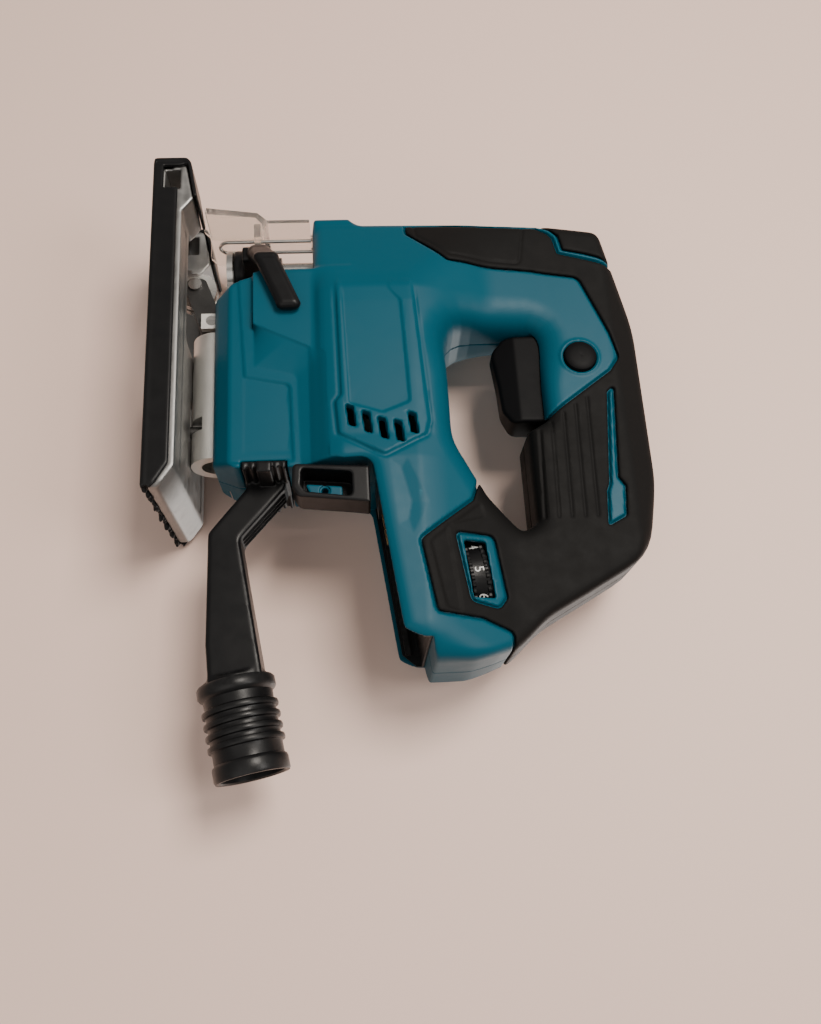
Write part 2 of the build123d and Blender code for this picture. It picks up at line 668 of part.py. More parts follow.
# ---- controls ----
def build_trigger():
    corners = [
        (41.4, 169.5, 1), (41.8, 151, 5), (47.5, 145.5, 6), (64, 147.5, 40), (77, 148.3, 8),
        (83.6, 152, 4), (84, 169.5, 1),
    ]
    with BuildPart() as trigger:
        add(side_prism(corners, 9.0))
        add(section_prism([(3.6, 144, 3), (9.0, 155.5, 3), (9.0, 172, 0.5)], 30, 100), mode=Mode.INTERSECT)
        add(block((-4, 4), (68, 76), (165, 171.5)))
    keep(trigger.part, "trigger")


def build_lock_button():
    """Push-through lock-off button."""
    y, z = BUTTON_YZ
    with BuildPart() as button:
        add(rod(BUTTON_R, (12, y, z), (19.2, y, z)))
        add(rod(4.0, (-17.2, y, z), (19.2, y, z)))
        add(rod(BUTTON_R, (-17.2, y, z), (-12.5, y, z)))
    keep(button.part, "lock_button")


def build_switch():
    """Switch body in the grip, with the trigger's plunger stop."""
    with BuildPart() as switch:
        add(block((-11, 11), (67, 100), (176.8, 196)))
        fillet(switch.edges().filter_by(Axis.X), 2)
        add(rod(2.0, (-GRIP_HALF + WALL, 94, 189), (GRIP_HALF - WALL, 94, 189)))
    keep(switch.part, "switch_unit")


def build_speed_dial():
    """Thumb wheel on its spindle; the ribbed rim shows in the left window."""
    with BuildPart() as dial:
        with BuildSketch(dial_plane().offset(-4.2)):
            Circle(DIAL_R)
            with PolarLocations(DIAL_R, 36):
                Circle(0.45, mode=Mode.SUBTRACT)
        extrude(amount=8.4)
        with BuildSketch(dial_plane().offset(-8)):
            Circle(2.5)
        extrude(amount=16)
    keep(dial.part, "speed_dial")


def build_board():
    """Motor control board in its potting tray, above the motor."""
    with BuildPart() as board:
        add(block((-21, 21), (46, 84), (101, 110)))
        fillet(board.edges().filter_by(Axis.Z), 3)
        add(block((-BODY_HALF + WALL, BODY_HALF - WALL), (60, 70), (104, 106)))
    keep(board.part, "control_board")


def build_terminals():
    """Contact block at the front of the battery bay, with its blades."""
    place = tilted_plane(BAY_LINE[0] + 0.4, BAY_LINE[1] - 1.2)
    with BuildPart() as carrier:
        with BuildSketch(place.offset(-7.6)):
            with Locations((0, 5)):
                Rectangle(30, 9)
        extrude(amount=7.5)
        with BuildSketch(place.offset(-1.6)):
            with Locations((0, 20)):
                Rectangle(30, 22)
        extrude(amount=1.5)
    keep(carrier.part, "terminal_block")
    with BuildPart() as blades:
        for x in (-9.5, 0, 9.5):
            with BuildSketch(place.offset(-6.4)):
                with Locations((x, 16.6)):
                    Rectangle(1.2, 14)
            extrude(amount=4.6)
    keep(blades.part, "terminal_blades")


def build_orbital_lever():
    """Selector for the blade's orbital action, on the right flank."""
    y, z = ORBITAL_YZ
    outer_x = -33.5
    inner_x = -CASE_HALF - 0.6
    with BuildPart() as lever:
        add(rod(3.0, (outer_x, y, z), (-22.0, y, z)))
        add(rod(7.5, (outer_x, y, z), (inner_x, y, z)))
        add(block((outer_x, inner_x), (y - 15.5, y), (z - 3.6, z + 3.6)))
        fillet(lever.edges().filter_by(Axis.X).group_by(Axis.Y)[0], 3)
    keep(lever.part, "orbital_lever")


HOLDER_X = (14.0, 29.5)     # frame behind the gear case, on the left side only


def build_wrench_holder():
    """Black frame behind the gear case where the hex key is stored, and the post inside it."""
    corners = [(108.4, 58, 2), (118.5, 57.5, 2), (122.5, 60, 3), (125, 82, 3), (126, 88.6, 1), (110.2, 88.6, 1)]
    pocket = [(110.5, 61.5, 1.5), (117.5, 61, 2), (120.5, 63, 2), (123, 81.5, 2), (112.5, 81.5, 2)]
    post = [(115.5, 62.5, 1), (119.8, 64.6, 1), (121.4, 77.5, 1), (117, 77.5, 1)]
    floor_x = HOLDER_X[0] + 2.5
    post_x = HOLDER_X[1] - 5
    screw = (118.6, 70.5)
    with BuildPart() as frame:
        add(side_prism(corners, (HOLDER_X[1] - HOLDER_X[0]) / 2, 0, sum(HOLDER_X) / 2))
        add(side_prism(pocket, 15, 0, floor_x + 15), mode=Mode.SUBTRACT)
        add(body_form(), mode=Mode.SUBTRACT)
    keep(frame.part, "wrench_holder")
    with BuildPart() as pillar:
        add(side_prism(post, (post_x - floor_x) / 2, 0, (post_x + floor_x) / 2))
        add(rod(1.6, (post_x - 5, *screw), (post_x + 2, *screw)), mode=Mode.SUBTRACT)
    keep(pillar.part, "rear_post")


# ---- shoe ----
def shoe_plan(half, front, rear, z_low, z_high):
    """Block of the shoe's outline with the front gap and the roller's window cut out."""
    with BuildPart(mode=Mode.PRIVATE) as plan:
        with BuildSketch(Plane.XY.offset(z_low)):
            with BuildLine():
                FilletPolyline(
                    (-half, front), (half, front), (half, rear), (-half, rear),
                    radius=[5, 5, 4, 4], close=True)
            make_face()
            with Locations((0, -25)):
                Rectangle(2 * GAP_HALF, 60, mode=Mode.SUBTRACT)
            with Locations((0, 16)):
                RectangleRounded(2 * SLOT_HALF, 56, 5, mode=Mode.SUBTRACT)
        extrude(amount=z_high - z_low)
    return plan.part


NOSE = [(-33.4, 8, 0.5), (-33.4, 13.8, 2), (-15.5, 17.2, 1), (-9, 12.4, 1), (-9, 8, 0.5)]


def build_shoe():
    """Aluminium shoe: flat top, raised nose, hollow underneath, slots for a rip fence."""
    with BuildPart() as shoe:
        add(shoe_plan(SHOE_HALF - 2.2, SHOE_FRONT + 2.2, SHOE_REAR, SOLE_THICK, SHOE_TOP))
        add(side_prism(NOSE, SHOE_HALF - 2.2))
        add(block((-GAP_HALF, GAP_HALF), (-60, 0), (0, 40)), mode=Mode.SUBTRACT)
        add(shoe_hollow(), mode=Mode.SUBTRACT)
        add(fence_slots(), mode=Mode.SUBTRACT)
        # long slot and cross slot of the clamp bolt
        with BuildSketch(Plane.XY):
            with Locations((0, BOLT_Y - 5)):
                SlotOverall(18, 6, rotation=90)
        extrude(amount=20, mode=Mode.SUBTRACT)
        # rear corners slope down
        with BuildSketch(Plane.YZ):
            with BuildLine():
                Polyline((110, SHOE_TOP), (130, SHOE_TOP - 14), (130, 20), (110, 20), close=True)
            make_face()
        extrude(amount=60, both=True, mode=Mode.SUBTRACT)
    keep(shoe.part, "shoe")


def shoe_hollow():
    """Space under the shoe's top, left by its 2.4 mm walls."""
    with BuildPart(mode=Mode.PRIVATE) as space:
        for x_low, x_high, y_low, y_high in (
                (SLOT_HALF + 2.4, SHOE_HALF - 4.8, -6, 112), (-SHOE_HALF + 4.8, -SLOT_HALF - 2.4, -6, 112),
                (-SLOT_HALF, SLOT_HALF, 47.5, 112)):
            add(block((x_low, x_high), (y_low, y_high), (0, SHOE_TOP - 3.2)))
    return space.part


def fence_slots():
    """Cross slot near the nose for a rip fence bar."""
    return block((-60, 60), (-30.5, -20.5), (5.0, 11.4))


def build_cover_plate():
    """Black slip-on plate: flat sole, side walls, hook over the nose."""
    hook = [(SHOE_FRONT, 0.05, 2), (SHOE_FRONT, 14.5, 3), (-33.0, 16.2, 2), (-15, 19.2, 0.5),
            (-15, 17.6, 0.5), (-31.8, 14.8, 1.5), (-33.4, 13.0, 1), (-33.4, 1, 0.4), (-20, 0.05, 0.4)]
    tail = [(108, 0.5, 0.4), (108, 10.6, 0.4), (109.5, 10.6, 2), (COVER_REAR, 3.4, 1), (COVER_REAR, 0.5, 0.4)]
    with BuildPart() as plate:
        add(shoe_plan(SHOE_HALF, SHOE_FRONT, COVER_REAR, 0, SOLE_THICK))
        add(both_sides(block((SHOE_HALF - 2.2, SHOE_HALF), (-31, 109), (0, 10.6))))
        add(side_prism(hook, SHOE_HALF))
        add(side_prism(tail, 60) & both_sides(block((SHOE_HALF - 2.2, SHOE_HALF), (100, 130), (0, 30))))
        add(block((-GAP_HALF, GAP_HALF), (-60, 0), (-5, 40)), mode=Mode.SUBTRACT)
        add(fence_slots(), mode=Mode.SUBTRACT)
        add(both_sides(block((SHOE_HALF - 2.6, 60), (-31.4, -19.8), (4.4, 13.8))), mode=Mode.SUBTRACT)
        add(shoe_plan(SHOE_HALF - 2.2, SHOE_FRONT + 2.2, 140, SOLE_THICK, 11), mode=Mode.SUBTRACT)
        add(side_prism(NOSE, SHOE_HALF - 2.2), mode=Mode.SUBTRACT)
        with BuildSketch(Plane.XY):
            with Locations((0, BOLT_Y - 5)):
                SlotOverall(24, 12, rotation=90)
        extrude(amount=20, mode=Mode.SUBTRACT)
        add(shoe_plan(SHOE_HALF, SHOE_FRONT, COVER_REAR, 0, 30), mode=Mode.INTERSECT)
    keep(plate.part, "cover_plate")


def build_shoe_clamp():
    """Bolt and plate that pull the shoe to the saddle, and the round nut they turn on."""
    with BuildPart() as plate:
        add(block((-11, 11), (BOLT_Y - 8, BOLT_Y + 8), (6.4, SHOE_TOP - 3.5)))
        fillet(plate.edges().filter_by(Axis.Z), 3)
        add(rod(2.6, (0, BOLT_Y, 0), (0, BOLT_Y, 20)), mode=Mode.SUBTRACT)
    keep(plate.part, "clamp_plate")
    with BuildPart() as bolt:
        add(rod(2.5, (0, BOLT_Y, 3), (0, BOLT_Y, TILT_Z + 3)))
        add(rod(4.8, (0, BOLT_Y, 2.8), (0, BOLT_Y, 6.3)))
        with BuildSketch(Plane.XY.offset(2.8)):
            with Locations((0, BOLT_Y)):
                RegularPolygon(2.2, 6)
        extrude(amount=2.2, mode=Mode.SUBTRACT)
    keep(bolt.part, "clamp_bolt")
    with BuildPart() as nut:
        add(rod(NUT_R, (0, BOLT_Y - 8, TILT_Z), (0, BOLT_Y + 8, TILT_Z)))
        add(rod(2.5, (0, BOLT_Y, 0), (0, BOLT_Y, TILT_Z + 3)), mode=Mode.SUBTRACT)
    keep(nut.part, "bevel_nut")


# ---- dust outlet ----
CUFF_TILT = 10.9
CUFF_START = (190.0, 32.3)
CUFF_LENGTH = 37.5
SOCKET_HALF = 23.5          # flange that closes the rear of the gear case


def duct_form(inset=0.0):
    """Flat duct from the gear case down past the battery and back up to the round end."""
    side = [
        (104, 37, 0.5), (110, 37, 3), (129, 21.5, 5), (176, 21.5, 12), (193, 23.0, 1), (193, 44.4, 1),
        (187, 43.8, 3), (132, 34.6, 5), (111, 53, 3), (104, 55, 0.5),
    ]
    plan = [(8.2, 100, 0.5), (8.2, 128, 8), (11.0, 193, 0.5)]
    return side_prism(side, 20, inset) & plan_prism(plan, 0, 80, inset)


def cuff_plane():
    slope = math.radians(CUFF_TILT)
    y, z = CUFF_START
    return Plane(origin=(0, y, z), x_dir=(1, 0, 0), z_dir=(0, math.cos(slope), math.sin(slope)))


def build_dust_nozzle():
    place = cuff_plane()
    with BuildPart() as nozzle:
        add(duct_form())
        add(block((-SOCKET_HALF, SOCKET_HALF), (104.6, 107.8), (36.9, 55.1)))
        with BuildSketch(place.offset(-2)):
            Circle(13.0)
        extrude(amount=14)
        with BuildSketch(place.offset(-2)):
            Circle(11.2)
        extrude(amount=20, mode=Mode.SUBTRACT)
        add(side_prism([(90, 39, 0.5), (110.5, 39, 2), (130, 23.3, 4), (194, 25.2, 1), (194, 42.4, 1),
                        (187.5, 42, 2), (131.5, 32.6, 4), (110, 51, 2), (90, 53, 0.5)], 20)
            & plan_prism([(6.5, 80, 0.5), (6.5, 128, 8), (9.2, 200, 0.5)], 0, 80), mode=Mode.SUBTRACT)
    keep(nozzle.part, "dust_nozzle")


def build_cuff():
    """Ribbed rubber cuff; its open end takes a hose."""
    place = cuff_plane()
    with BuildPart() as cuff:
        with BuildSketch(place.offset(-0.5)):
            Circle(14.4)
        extrude(amount=CUFF_LENGTH)
        for along, radius, width in ((0, 15.6, 4.2), (9.5, 15.2, 2.2), (14, 15.2, 2.2), (18.5, 15.2, 2.2),
                                     (23, 15.2, 2.2), (31, 14.9, 5.6)):
            with BuildSketch(place.offset(along)):
                Circle(radius)
            extrude(amount=width)
        with BuildSketch(place.offset(-4)):
            Circle(13.0)
        extrude(amount=16, mode=Mode.SUBTRACT)
        with BuildSketch(place.offset(8)):
            Circle(12.5)
        extrude(amount=60, mode=Mode.SUBTRACT)
        add(duct_form(), mode=Mode.SUBTRACT)
    keep(cuff.part, "rubber_cuff")


build_shells()
build_screws()
build_gear_housing()
build_bushes()
build_drive_gear()
build_gear_axle()
build_motor()
build_plunger()
build_clamp()
build_counterweight()
build_roller_holder()
build_blade_lever()
build_lever_bracket()
build_wire_guard()
build_dust_guard()
build_lens()
build_trigger()
build_lock_button()
build_switch()
build_speed_dial()
build_board()
build_bay_liner()
build_terminals()
build_orbital_lever()
build_wrench_holder()
build_shoe()
build_cover_plate()
build_shoe_clamp()
build_dust_nozzle()
build_cuff()

os.makedirs("parts", exist_ok=True)
for node in NODES:
    export_step(node, "parts/" + node.label + ".step")
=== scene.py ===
import functools
import json
import math

import bmesh
import bpy
import numpy as np
from mathutils import Matrix, Vector


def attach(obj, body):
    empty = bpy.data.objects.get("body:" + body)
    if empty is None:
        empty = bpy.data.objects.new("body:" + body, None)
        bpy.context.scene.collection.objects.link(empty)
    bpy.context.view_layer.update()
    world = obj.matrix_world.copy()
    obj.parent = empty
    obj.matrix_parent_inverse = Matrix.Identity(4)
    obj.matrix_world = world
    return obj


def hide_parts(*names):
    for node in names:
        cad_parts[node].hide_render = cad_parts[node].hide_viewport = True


# Cordless jigsaw lying on its right side. Lengths are in millimetres until a mesh is made.
# The floor, the lamps and the camera are placed in metres.
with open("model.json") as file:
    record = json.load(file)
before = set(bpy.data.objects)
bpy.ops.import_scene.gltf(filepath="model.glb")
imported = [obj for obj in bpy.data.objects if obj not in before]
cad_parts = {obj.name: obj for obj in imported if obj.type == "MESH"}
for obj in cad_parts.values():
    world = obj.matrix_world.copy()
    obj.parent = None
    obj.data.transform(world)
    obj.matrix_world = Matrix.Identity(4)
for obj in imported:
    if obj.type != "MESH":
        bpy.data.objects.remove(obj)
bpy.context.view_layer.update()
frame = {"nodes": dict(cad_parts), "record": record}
MM = 0.001
FINE = 0.6                  # cell of the shells' grid, and of the nozzle, shoe and plate
SMALL = 0.45                # cell of the lever and the trigger
BUTTON = (57.5, 182.5)      # lock button's axis, y and z
SOCKET = (0, 190, 32.3)     # where the dust socket begins
SOCKET_TILT = math.radians(10.9)
SOCKET_AXIS = (0, math.cos(SOCKET_TILT), math.sin(SOCKET_TILT))
LEVER_BORE = 7.3
BOLT_SLOT = ((0, 69), (0, 81))
SHOE_HALF = 35.8
PLATE_HALF = 38.0
GROOVE_ENDS = ((92, 161.5), (88, 167), (84, 172.5), (80, 178), (77, 183.3))
VENTS = ((93.5, 107), (97, 101.2), (95.5, 94.8), (92.5, 88.4), (89.5, 82))


# ---------------------------------------------------------------- distance fields
def arcs(corners, steps=5):
    """Closed outline from (u, v, radius) corners, each corner turned into a short arc."""
    out = []
    n = len(corners)
    for i, (u, v, r) in enumerate(corners):
        p = np.array((u, v), float)
        a = np.array(corners[i - 1][:2], float) - p
        b = np.array(corners[(i + 1) % n][:2], float) - p
        la, lb = np.linalg.norm(a), np.linalg.norm(b)
        a, b = a / la, b / lb
        half = math.acos(max(-1.0, min(1.0, float(a @ b)))) / 2
        reach = min(r / math.tan(half), 0.48 * la, 0.48 * lb)
        if reach < 0.05:
            out.append(p)
            continue
        for k in range(steps + 1):
            t = k / steps
            out.append((1 - t) ** 2 * (p + a * reach) + 2 * t * (1 - t) * p + t * t * (p + b * reach))
    return np.array(out)


def outline(corners, u, v):
    """Signed distance to a closed outline, below zero inside."""
    pts = arcs(corners)
    best = np.full(np.broadcast(u, v).shape, 1e9, np.float32)
    inside = np.zeros(best.shape, bool)
    for (x0, y0), (x1, y1) in zip(pts, np.roll(pts, -1, 0)):
        ex, ey = x1 - x0, y1 - y0
        wx, wy = u - x0, v - y0
        t = np.clip((wx * ex + wy * ey) / max(ex * ex + ey * ey, 1e-9), 0, 1)
        best = np.minimum(best, np.hypot(wx - ex * t, wy - ey * t))
        if y0 != y1:
            crossing = ((y0 > v) != (y1 > v)) & (u < ex * (v - y0) / ey + x0)
            inside ^= crossing
    return np.where(inside, -best, best).astype(np.float32)


def smooth_max(a, b, k):
    h = np.clip(0.5 + 0.5 * (a - b) / k, 0, 1)
    return b + (a - b) * h + k * h * (1 - h)


def smooth_min(a, b, k):
    return -smooth_max(-a, -b, k)


def largest(*fields):
    return functools.reduce(np.maximum, fields)


def smallest(*fields):
    return functools.reduce(np.minimum, fields)


def step(d, soft=0.5):
    """1 well inside a region (d below zero), 0 outside, soft between."""
    t = np.clip(0.5 - d / (2 * soft), 0, 1)
    return t * t * (3 - 2 * t)


def slab(low, high, w):
    return np.maximum(low - w, w - high)


def bar(u, v, start, end, half):
    """Distance to a straight bar with round ends."""
    ex, ey = end[0] - start[0], end[1] - start[1]
    t = np.clip(((u - start[0]) * ex + (v - start[1]) * ey) / (ex * ex + ey * ey), 0, 1)
    return np.hypot(u - start[0] - ex * t, v - start[1] - ey * t) - half


def grid(low, high, cell):
    """Open coordinate arrays that span a box, for fields made by broadcasting."""
    axes = [np.arange(a - 2 * cell, b + 2.5 * cell, cell, dtype=np.float32) for a, b in zip(low, high)]
    return axes[0][:, None, None], axes[1][None, :, None], axes[2][None, None, :]


def field_mesh(name, field, axes, thin=1.0, flip=False):
    """Smooth mesh of the surface where a field is zero, one vertex per crossed cell."""
    x, y, z = (a.ravel() for a in axes)
    cell = float(x[1] - x[0])
    f = np.broadcast_to(field, (len(x), len(y), len(z))).astype(np.float32)
    s = f < 0
    count = np.zeros(tuple(n - 1 for n in f.shape), np.int8)
    corner = [(i, j, k) for i in (0, 1) for j in (0, 1) for k in (0, 1)]
    for c in corner:
        count += s[tuple(slice(v, n - 1 + v) for v, n in zip(c, s.shape))]
    cells = np.argwhere((count > 0) & (count < 8))
    total = np.zeros((len(cells), 3), np.float32)
    hits = np.zeros(len(cells), np.float32)
    at = lambda c: f[cells[:, 0] + c[0], cells[:, 1] + c[1], cells[:, 2] + c[2]]
    for a in corner:
        for axis in range(3):
            if a[axis]:
                continue
            b = tuple(v + (i == axis) for i, v in enumerate(a))
            fa, fb = at(a), at(b)
            cross = (fa < 0) != (fb < 0)
            t = np.where(cross, fa / np.where(fa == fb, 1, fa - fb), 0)
            p = np.tile(np.array(a, np.float32), (len(cells), 1))
            p[:, axis] += t
            total += np.where(cross[:, None], p, 0)
            hits += cross
    verts = (cells + total / hits[:, None]) * cell + np.array((x[0], y[0], z[0]))
    index = np.full(count.shape, -1, np.int32)
    index[tuple(cells.T)] = np.arange(len(cells))
    quads = []
    for axis in range(3):
        lo = [slice(None)] * 3
        hi = [slice(None)] * 3
        lo[axis], hi[axis] = slice(0, -1), slice(1, None)
        change = np.argwhere(s[tuple(lo)] != s[tuple(hi)])
        u, v = (axis + 1) % 3, (axis + 2) % 3
        change = change[(change[:, u] > 0) & (change[:, v] > 0)
                        & (change[:, u] < f.shape[u] - 1) & (change[:, v] < f.shape[v] - 1)]
        start = s[tuple(change.T)]
        ring = []
        for du, dv in ((0, 0), (-1, 0), (-1, -1), (0, -1)):
            q = change.copy()
            q[:, u] += du
            q[:, v] += dv
            ring.append(index[tuple(q.T)])
        ring = np.stack(ring, 1)
        ring[~start] = ring[~start][:, ::-1]
        quads.append(ring)
    quads = np.concatenate(quads)
    if flip:
        verts[:, 0] *= -1
        quads = quads[:, ::-1]
    mesh = bpy.data.meshes.new(name)
    mesh.vertices.add(len(verts))
    mesh.vertices.foreach_set("co", (verts * MM).astype(np.float32).ravel())
    mesh.loops.add(4 * len(quads))
    mesh.loops.foreach_set("vertex_index", quads.ravel())
    mesh.polygons.add(len(quads))
    mesh.polygons.foreach_set("loop_start", np.arange(0, 4 * len(quads), 4))
    mesh.update(calc_edges=True)
    mesh.validate()
    mesh.shade_smooth()
    obj = bpy.data.objects.new(name, mesh)
    bpy.context.scene.collection.objects.link(obj)
    if thin < 1:
        apply_modifier(obj, "DECIMATE", ratio=thin)
        obj.data.shade_smooth()
        apply_modifier(obj, "WEIGHTED_NORMAL", weight=50)
    return obj


def apply_modifier(obj, kind, **settings):
    modifier = obj.modifiers.new(kind.title(), kind)
    for key, value in settings.items():
        setattr(modifier, key, value)
    evaluated = obj.evaluated_get(bpy.context.evaluated_depsgraph_get())
    mesh = bpy.data.meshes.new_from_object(evaluated)
    obj.modifiers.clear()
    obj.data = mesh


# ---------------------------------------------------------------- materials
def shader(name, colour, rough=0.5, metal=0.0, grain=0.25, grain_size=2200.0, mottle=0.06,
           wear=0.0, wear_colour=(0.3, 0.3, 0.3), rough_range=0.08, bump=0.08, spec=0.5, streak=None):
    """Procedural finish: moulding grain, slow colour mottling and worn edges."""
    mat = bpy.data.materials.new(name)
    mat.use_nodes = True
    nodes, links = mat.node_tree.nodes, mat.node_tree.links
    bsdf = nodes["Principled BSDF"]
    bsdf.inputs["Metallic"].default_value = metal
    bsdf.inputs["Specular IOR Level"].default_value = spec
    where = nodes.new("ShaderNodeTexCoord").outputs["Object"]
    if streak:
        stretch = nodes.new("ShaderNodeVectorMath")
        stretch.operation = "MULTIPLY"
        stretch.inputs[1].default_value = streak
        links.new(where, stretch.inputs[0])
        where = stretch.outputs[0]

    def noise(scale, detail=3.0, rough_=0.55):
        n = nodes.new("ShaderNodeTexNoise")
        n.inputs["Scale"].default_value = scale
        n.inputs["Detail"].default_value = detail
        n.inputs["Roughness"].default_value = rough_
        links.new(where, n.inputs["Vector"])
        return n.outputs["Fac"]

    def spread(value, low, high):
        m = nodes.new("ShaderNodeMapRange")
        m.inputs["From Min"].default_value = 0.3
        m.inputs["From Max"].default_value = 0.7
        m.inputs["To Min"].default_value = low
        m.inputs["To Max"].default_value = high
        links.new(value, m.inputs["Value"])
        return m.outputs["Result"]

    slow = noise(38.0)
    tint = nodes.new("ShaderNodeMix")
    tint.data_type = "RGBA"
    links.new(slow, tint.inputs["Factor"])
    tint.inputs["A"].default_value = (*[c * (1 - mottle) for c in colour], 1)
    tint.inputs["B"].default_value = (*[c * (1 + mottle) for c in colour], 1)
    out = tint.outputs["Result"]
    if wear:
        edge = nodes.new("ShaderNodeNewGeometry").outputs["Pointiness"]
        ramp = nodes.new("ShaderNodeMapRange")
        ramp.inputs["From Min"].default_value = 0.53
        ramp.inputs["From Max"].default_value = 0.60
        links.new(edge, ramp.inputs["Value"])
        patch = nodes.new("ShaderNodeMath")
        patch.operation = "MULTIPLY"
        links.new(ramp.outputs["Result"], patch.inputs[0])
        links.new(spread(noise(420.0, 6.0), 0.0, wear), patch.inputs[1])
        worn = nodes.new("ShaderNodeMix")
        worn.data_type = "RGBA"
        links.new(patch.outputs[0], worn.inputs["Factor"])
        links.new(out, worn.inputs["A"])
        worn.inputs["B"].default_value = (*wear_colour, 1)
        out = worn.outputs["Result"]
    links.new(out, bsdf.inputs["Base Color"])
    links.new(spread(noise(160.0, 5.0), rough - rough_range, rough + rough_range), bsdf.inputs["Roughness"])
    relief = nodes.new("ShaderNodeBump")
    relief.inputs["Strength"].default_value = grain
    relief.inputs["Distance"].default_value = bump * MM
    links.new(noise(grain_size, 2.0), relief.inputs["Height"])
    links.new(relief.outputs["Normal"], bsdf.inputs["Normal"])
    return mat


TEAL = shader("teal_plastic", (0.0, 0.066, 0.103), rough=0.46, grain=0.2, mottle=0.04,
              wear=0.25, wear_colour=(0.05, 0.22, 0.28), rough_range=0.025, spec=0.2)
RUBBER = shader("grip_rubber", (0.0048, 0.0045, 0.0044), rough=0.66, grain=0.45, grain_size=1700.0,
                mottle=0.10,
                wear=0.2, wear_colour=(0.04, 0.037, 0.036), rough_range=0.04, spec=0.14)
BLACK = shader("black_plastic", (0.0055, 0.0055, 0.006), rough=0.36, grain=0.25, mottle=0.08,
               rough_range=0.04, spec=0.2,
               wear=0.3, wear_colour=(0.06, 0.06, 0.06))
GRIP_BLACK = shader("trigger_plastic", (0.004, 0.004, 0.0045), rough=0.5, grain=0.25, mottle=0.08,
                    rough_range=0.03,
                    spec=0.08)
CUFF = shader("cuff_rubber", (0.0065, 0.0065, 0.007), rough=0.36, spec=0.25, grain=0.35, grain_size=1200.0,
              mottle=0.2,
              wear=0.3, wear_colour=(0.06, 0.06, 0.06))
CAST = shader("cast_aluminium", (0.27, 0.268, 0.262), rough=0.48, metal=1.0, grain=0.25, grain_size=900.0,
              mottle=0.10, rough_range=0.12)
DULL = shader("gear_case_aluminium", (0.66, 0.65, 0.62), rough=0.5, metal=1.0, grain=0.45, grain_size=700.0,
              mottle=0.12)
STEEL = shader("hardened_steel", (0.50, 0.49, 0.47), rough=0.26, metal=1.0, grain=0.2, grain_size=1200.0,
               streak=(1.0, 1.0, 0.12))
DARK_STEEL = shader("blackened_steel", (0.035, 0.034, 0.033), rough=0.42, metal=0.6, grain=0.3, mottle=0.2)
BRONZE = shader("bronze", (0.42, 0.24, 0.10), rough=0.4, metal=1.0, grain=0.4)
CORE = shader("laminations", (0.20, 0.19, 0.18), rough=0.5, metal=0.8, grain=0.5, streak=(1.0, 12.0, 1.0))
BRASS = shader("contact_brass", (0.62, 0.45, 0.20), rough=0.3, metal=1.0, grain=0.2)
RESIN = shader("board_resin", (0.02, 0.07, 0.04), rough=0.3, grain=0.3)


PAINT = shader("white_print", (0.62, 0.62, 0.60), rough=0.5, grain=0.2, mottle=0.08)


def clear_plastic():
    mat = shader("clear_plastic", (0.93, 0.90, 0.86), rough=0.12, grain=0.12, mottle=0.02, rough_range=0.05)
    bsdf = mat.node_tree.nodes["Principled BSDF"]
    bsdf.inputs["Transmission Weight"].default_value = 0.94
    bsdf.inputs["IOR"].default_value = 1.22
    return mat


CLEAR = clear_plastic()
BY_SLOT = {
    "teal_plastic": TEAL, "grip_rubber": RUBBER, "black_plastic": BLACK, "clear_plastic": CLEAR,
    "cast_aluminium": CAST, "gear_case_aluminium": DULL, "hardened_steel": STEEL,
    "blackened_steel": DARK_STEEL,
    "bronze": BRONZE, "laminations": CORE, "contact_brass": BRASS, "board_resin": RESIN,
    "trigger_plastic": GRIP_BLACK,
}
for part in frame["record"]["subparts"]:
    node = frame["nodes"][part["node"]]
    for holder in node.material_slots:
        holder.material = BY_SLOT[part["material_slot"]]


def place(obj, material, body, nodes=()):
    """Finish a piece: its material, the body it rides on and the nodes it stands for."""
    obj.data.materials.clear()
    obj.data.materials.append(material)
    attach(obj, body)
    if nodes:
        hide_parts(*nodes)
    return obj


# ---------------------------------------------------------------- moulded body
SIDE = [
    (-19, 67.5, 1.5), (-19, 84, 2.5), (-15.5, 89, 4), (-12.5, 172, 40), (-8, 199, 7),
    (42, 211.5, 60), (112, 211.5, 50), (147, 203, 30), (160, 179.5, 50), (172, 157.5, 40),
    (184, 144.5, 14), (190.5, 126, 14), (190.5, 111, 2), (178, 98.3, 2), (108, 89, 5), (109, 67.5, 2),
]
SECTION = [(0, 60, 0.5), (28, 65, 2), (34.2, 78, 6), (34.2, 109, 8), (19.5, 145, 30), (17, 170, 60),
           (17, 198, 10),
           (9, 212.2, 8), (0, 212.2, 0.5), (-60, 212, 1), (-60, 60, 1)]
PLAN = [(0, -19.8, 0.5), (11, -19.8, 4), (18, -12.4, 5), (32.5, 28, 9), (32.5, 98, 6), (34.7, 108, 6),
        (34.7, 178, 12),
        (25, 191.3, 10), (0, 191.3, 0.5), (-60, 191, 1), (-60, -20, 1)]
CASE_SIDE = [(15.5, 84, 0.5), (15.5, 46, 4), (20, 32, 4), (24, 24, 2.5), (103, 24, 2.5), (107, 34, 4),
             (108, 84, 0.5)]
CASE_SECTION = [(0, 20, 0.5), (12.2, 20, 1.5), (27.5, 36, 4), (28, 90, 0.5), (-60, 90, 0.5), (-60, 20, 0.5)]
BROW = [(-17, 68, 1.5), (-17, 84, 1.5), (-11, 90, 1), (10, 90, 1), (10, 68, 1)]
HAND = [(40.5, 123.5, 13), (97, 123.5, 24), (121, 137, 18), (136, 150.5, 4), (132, 157, 4), (90, 157, 3),
        (85.5, 165.5, 2), (40.5, 165.5, 8)]
TRIGGER_SLOT = (41.0, 84.4)
BAY = [(107, 60, 0.4), (107, 100, 1), (202, 112.5, 1), (202, 60, 0.4)]
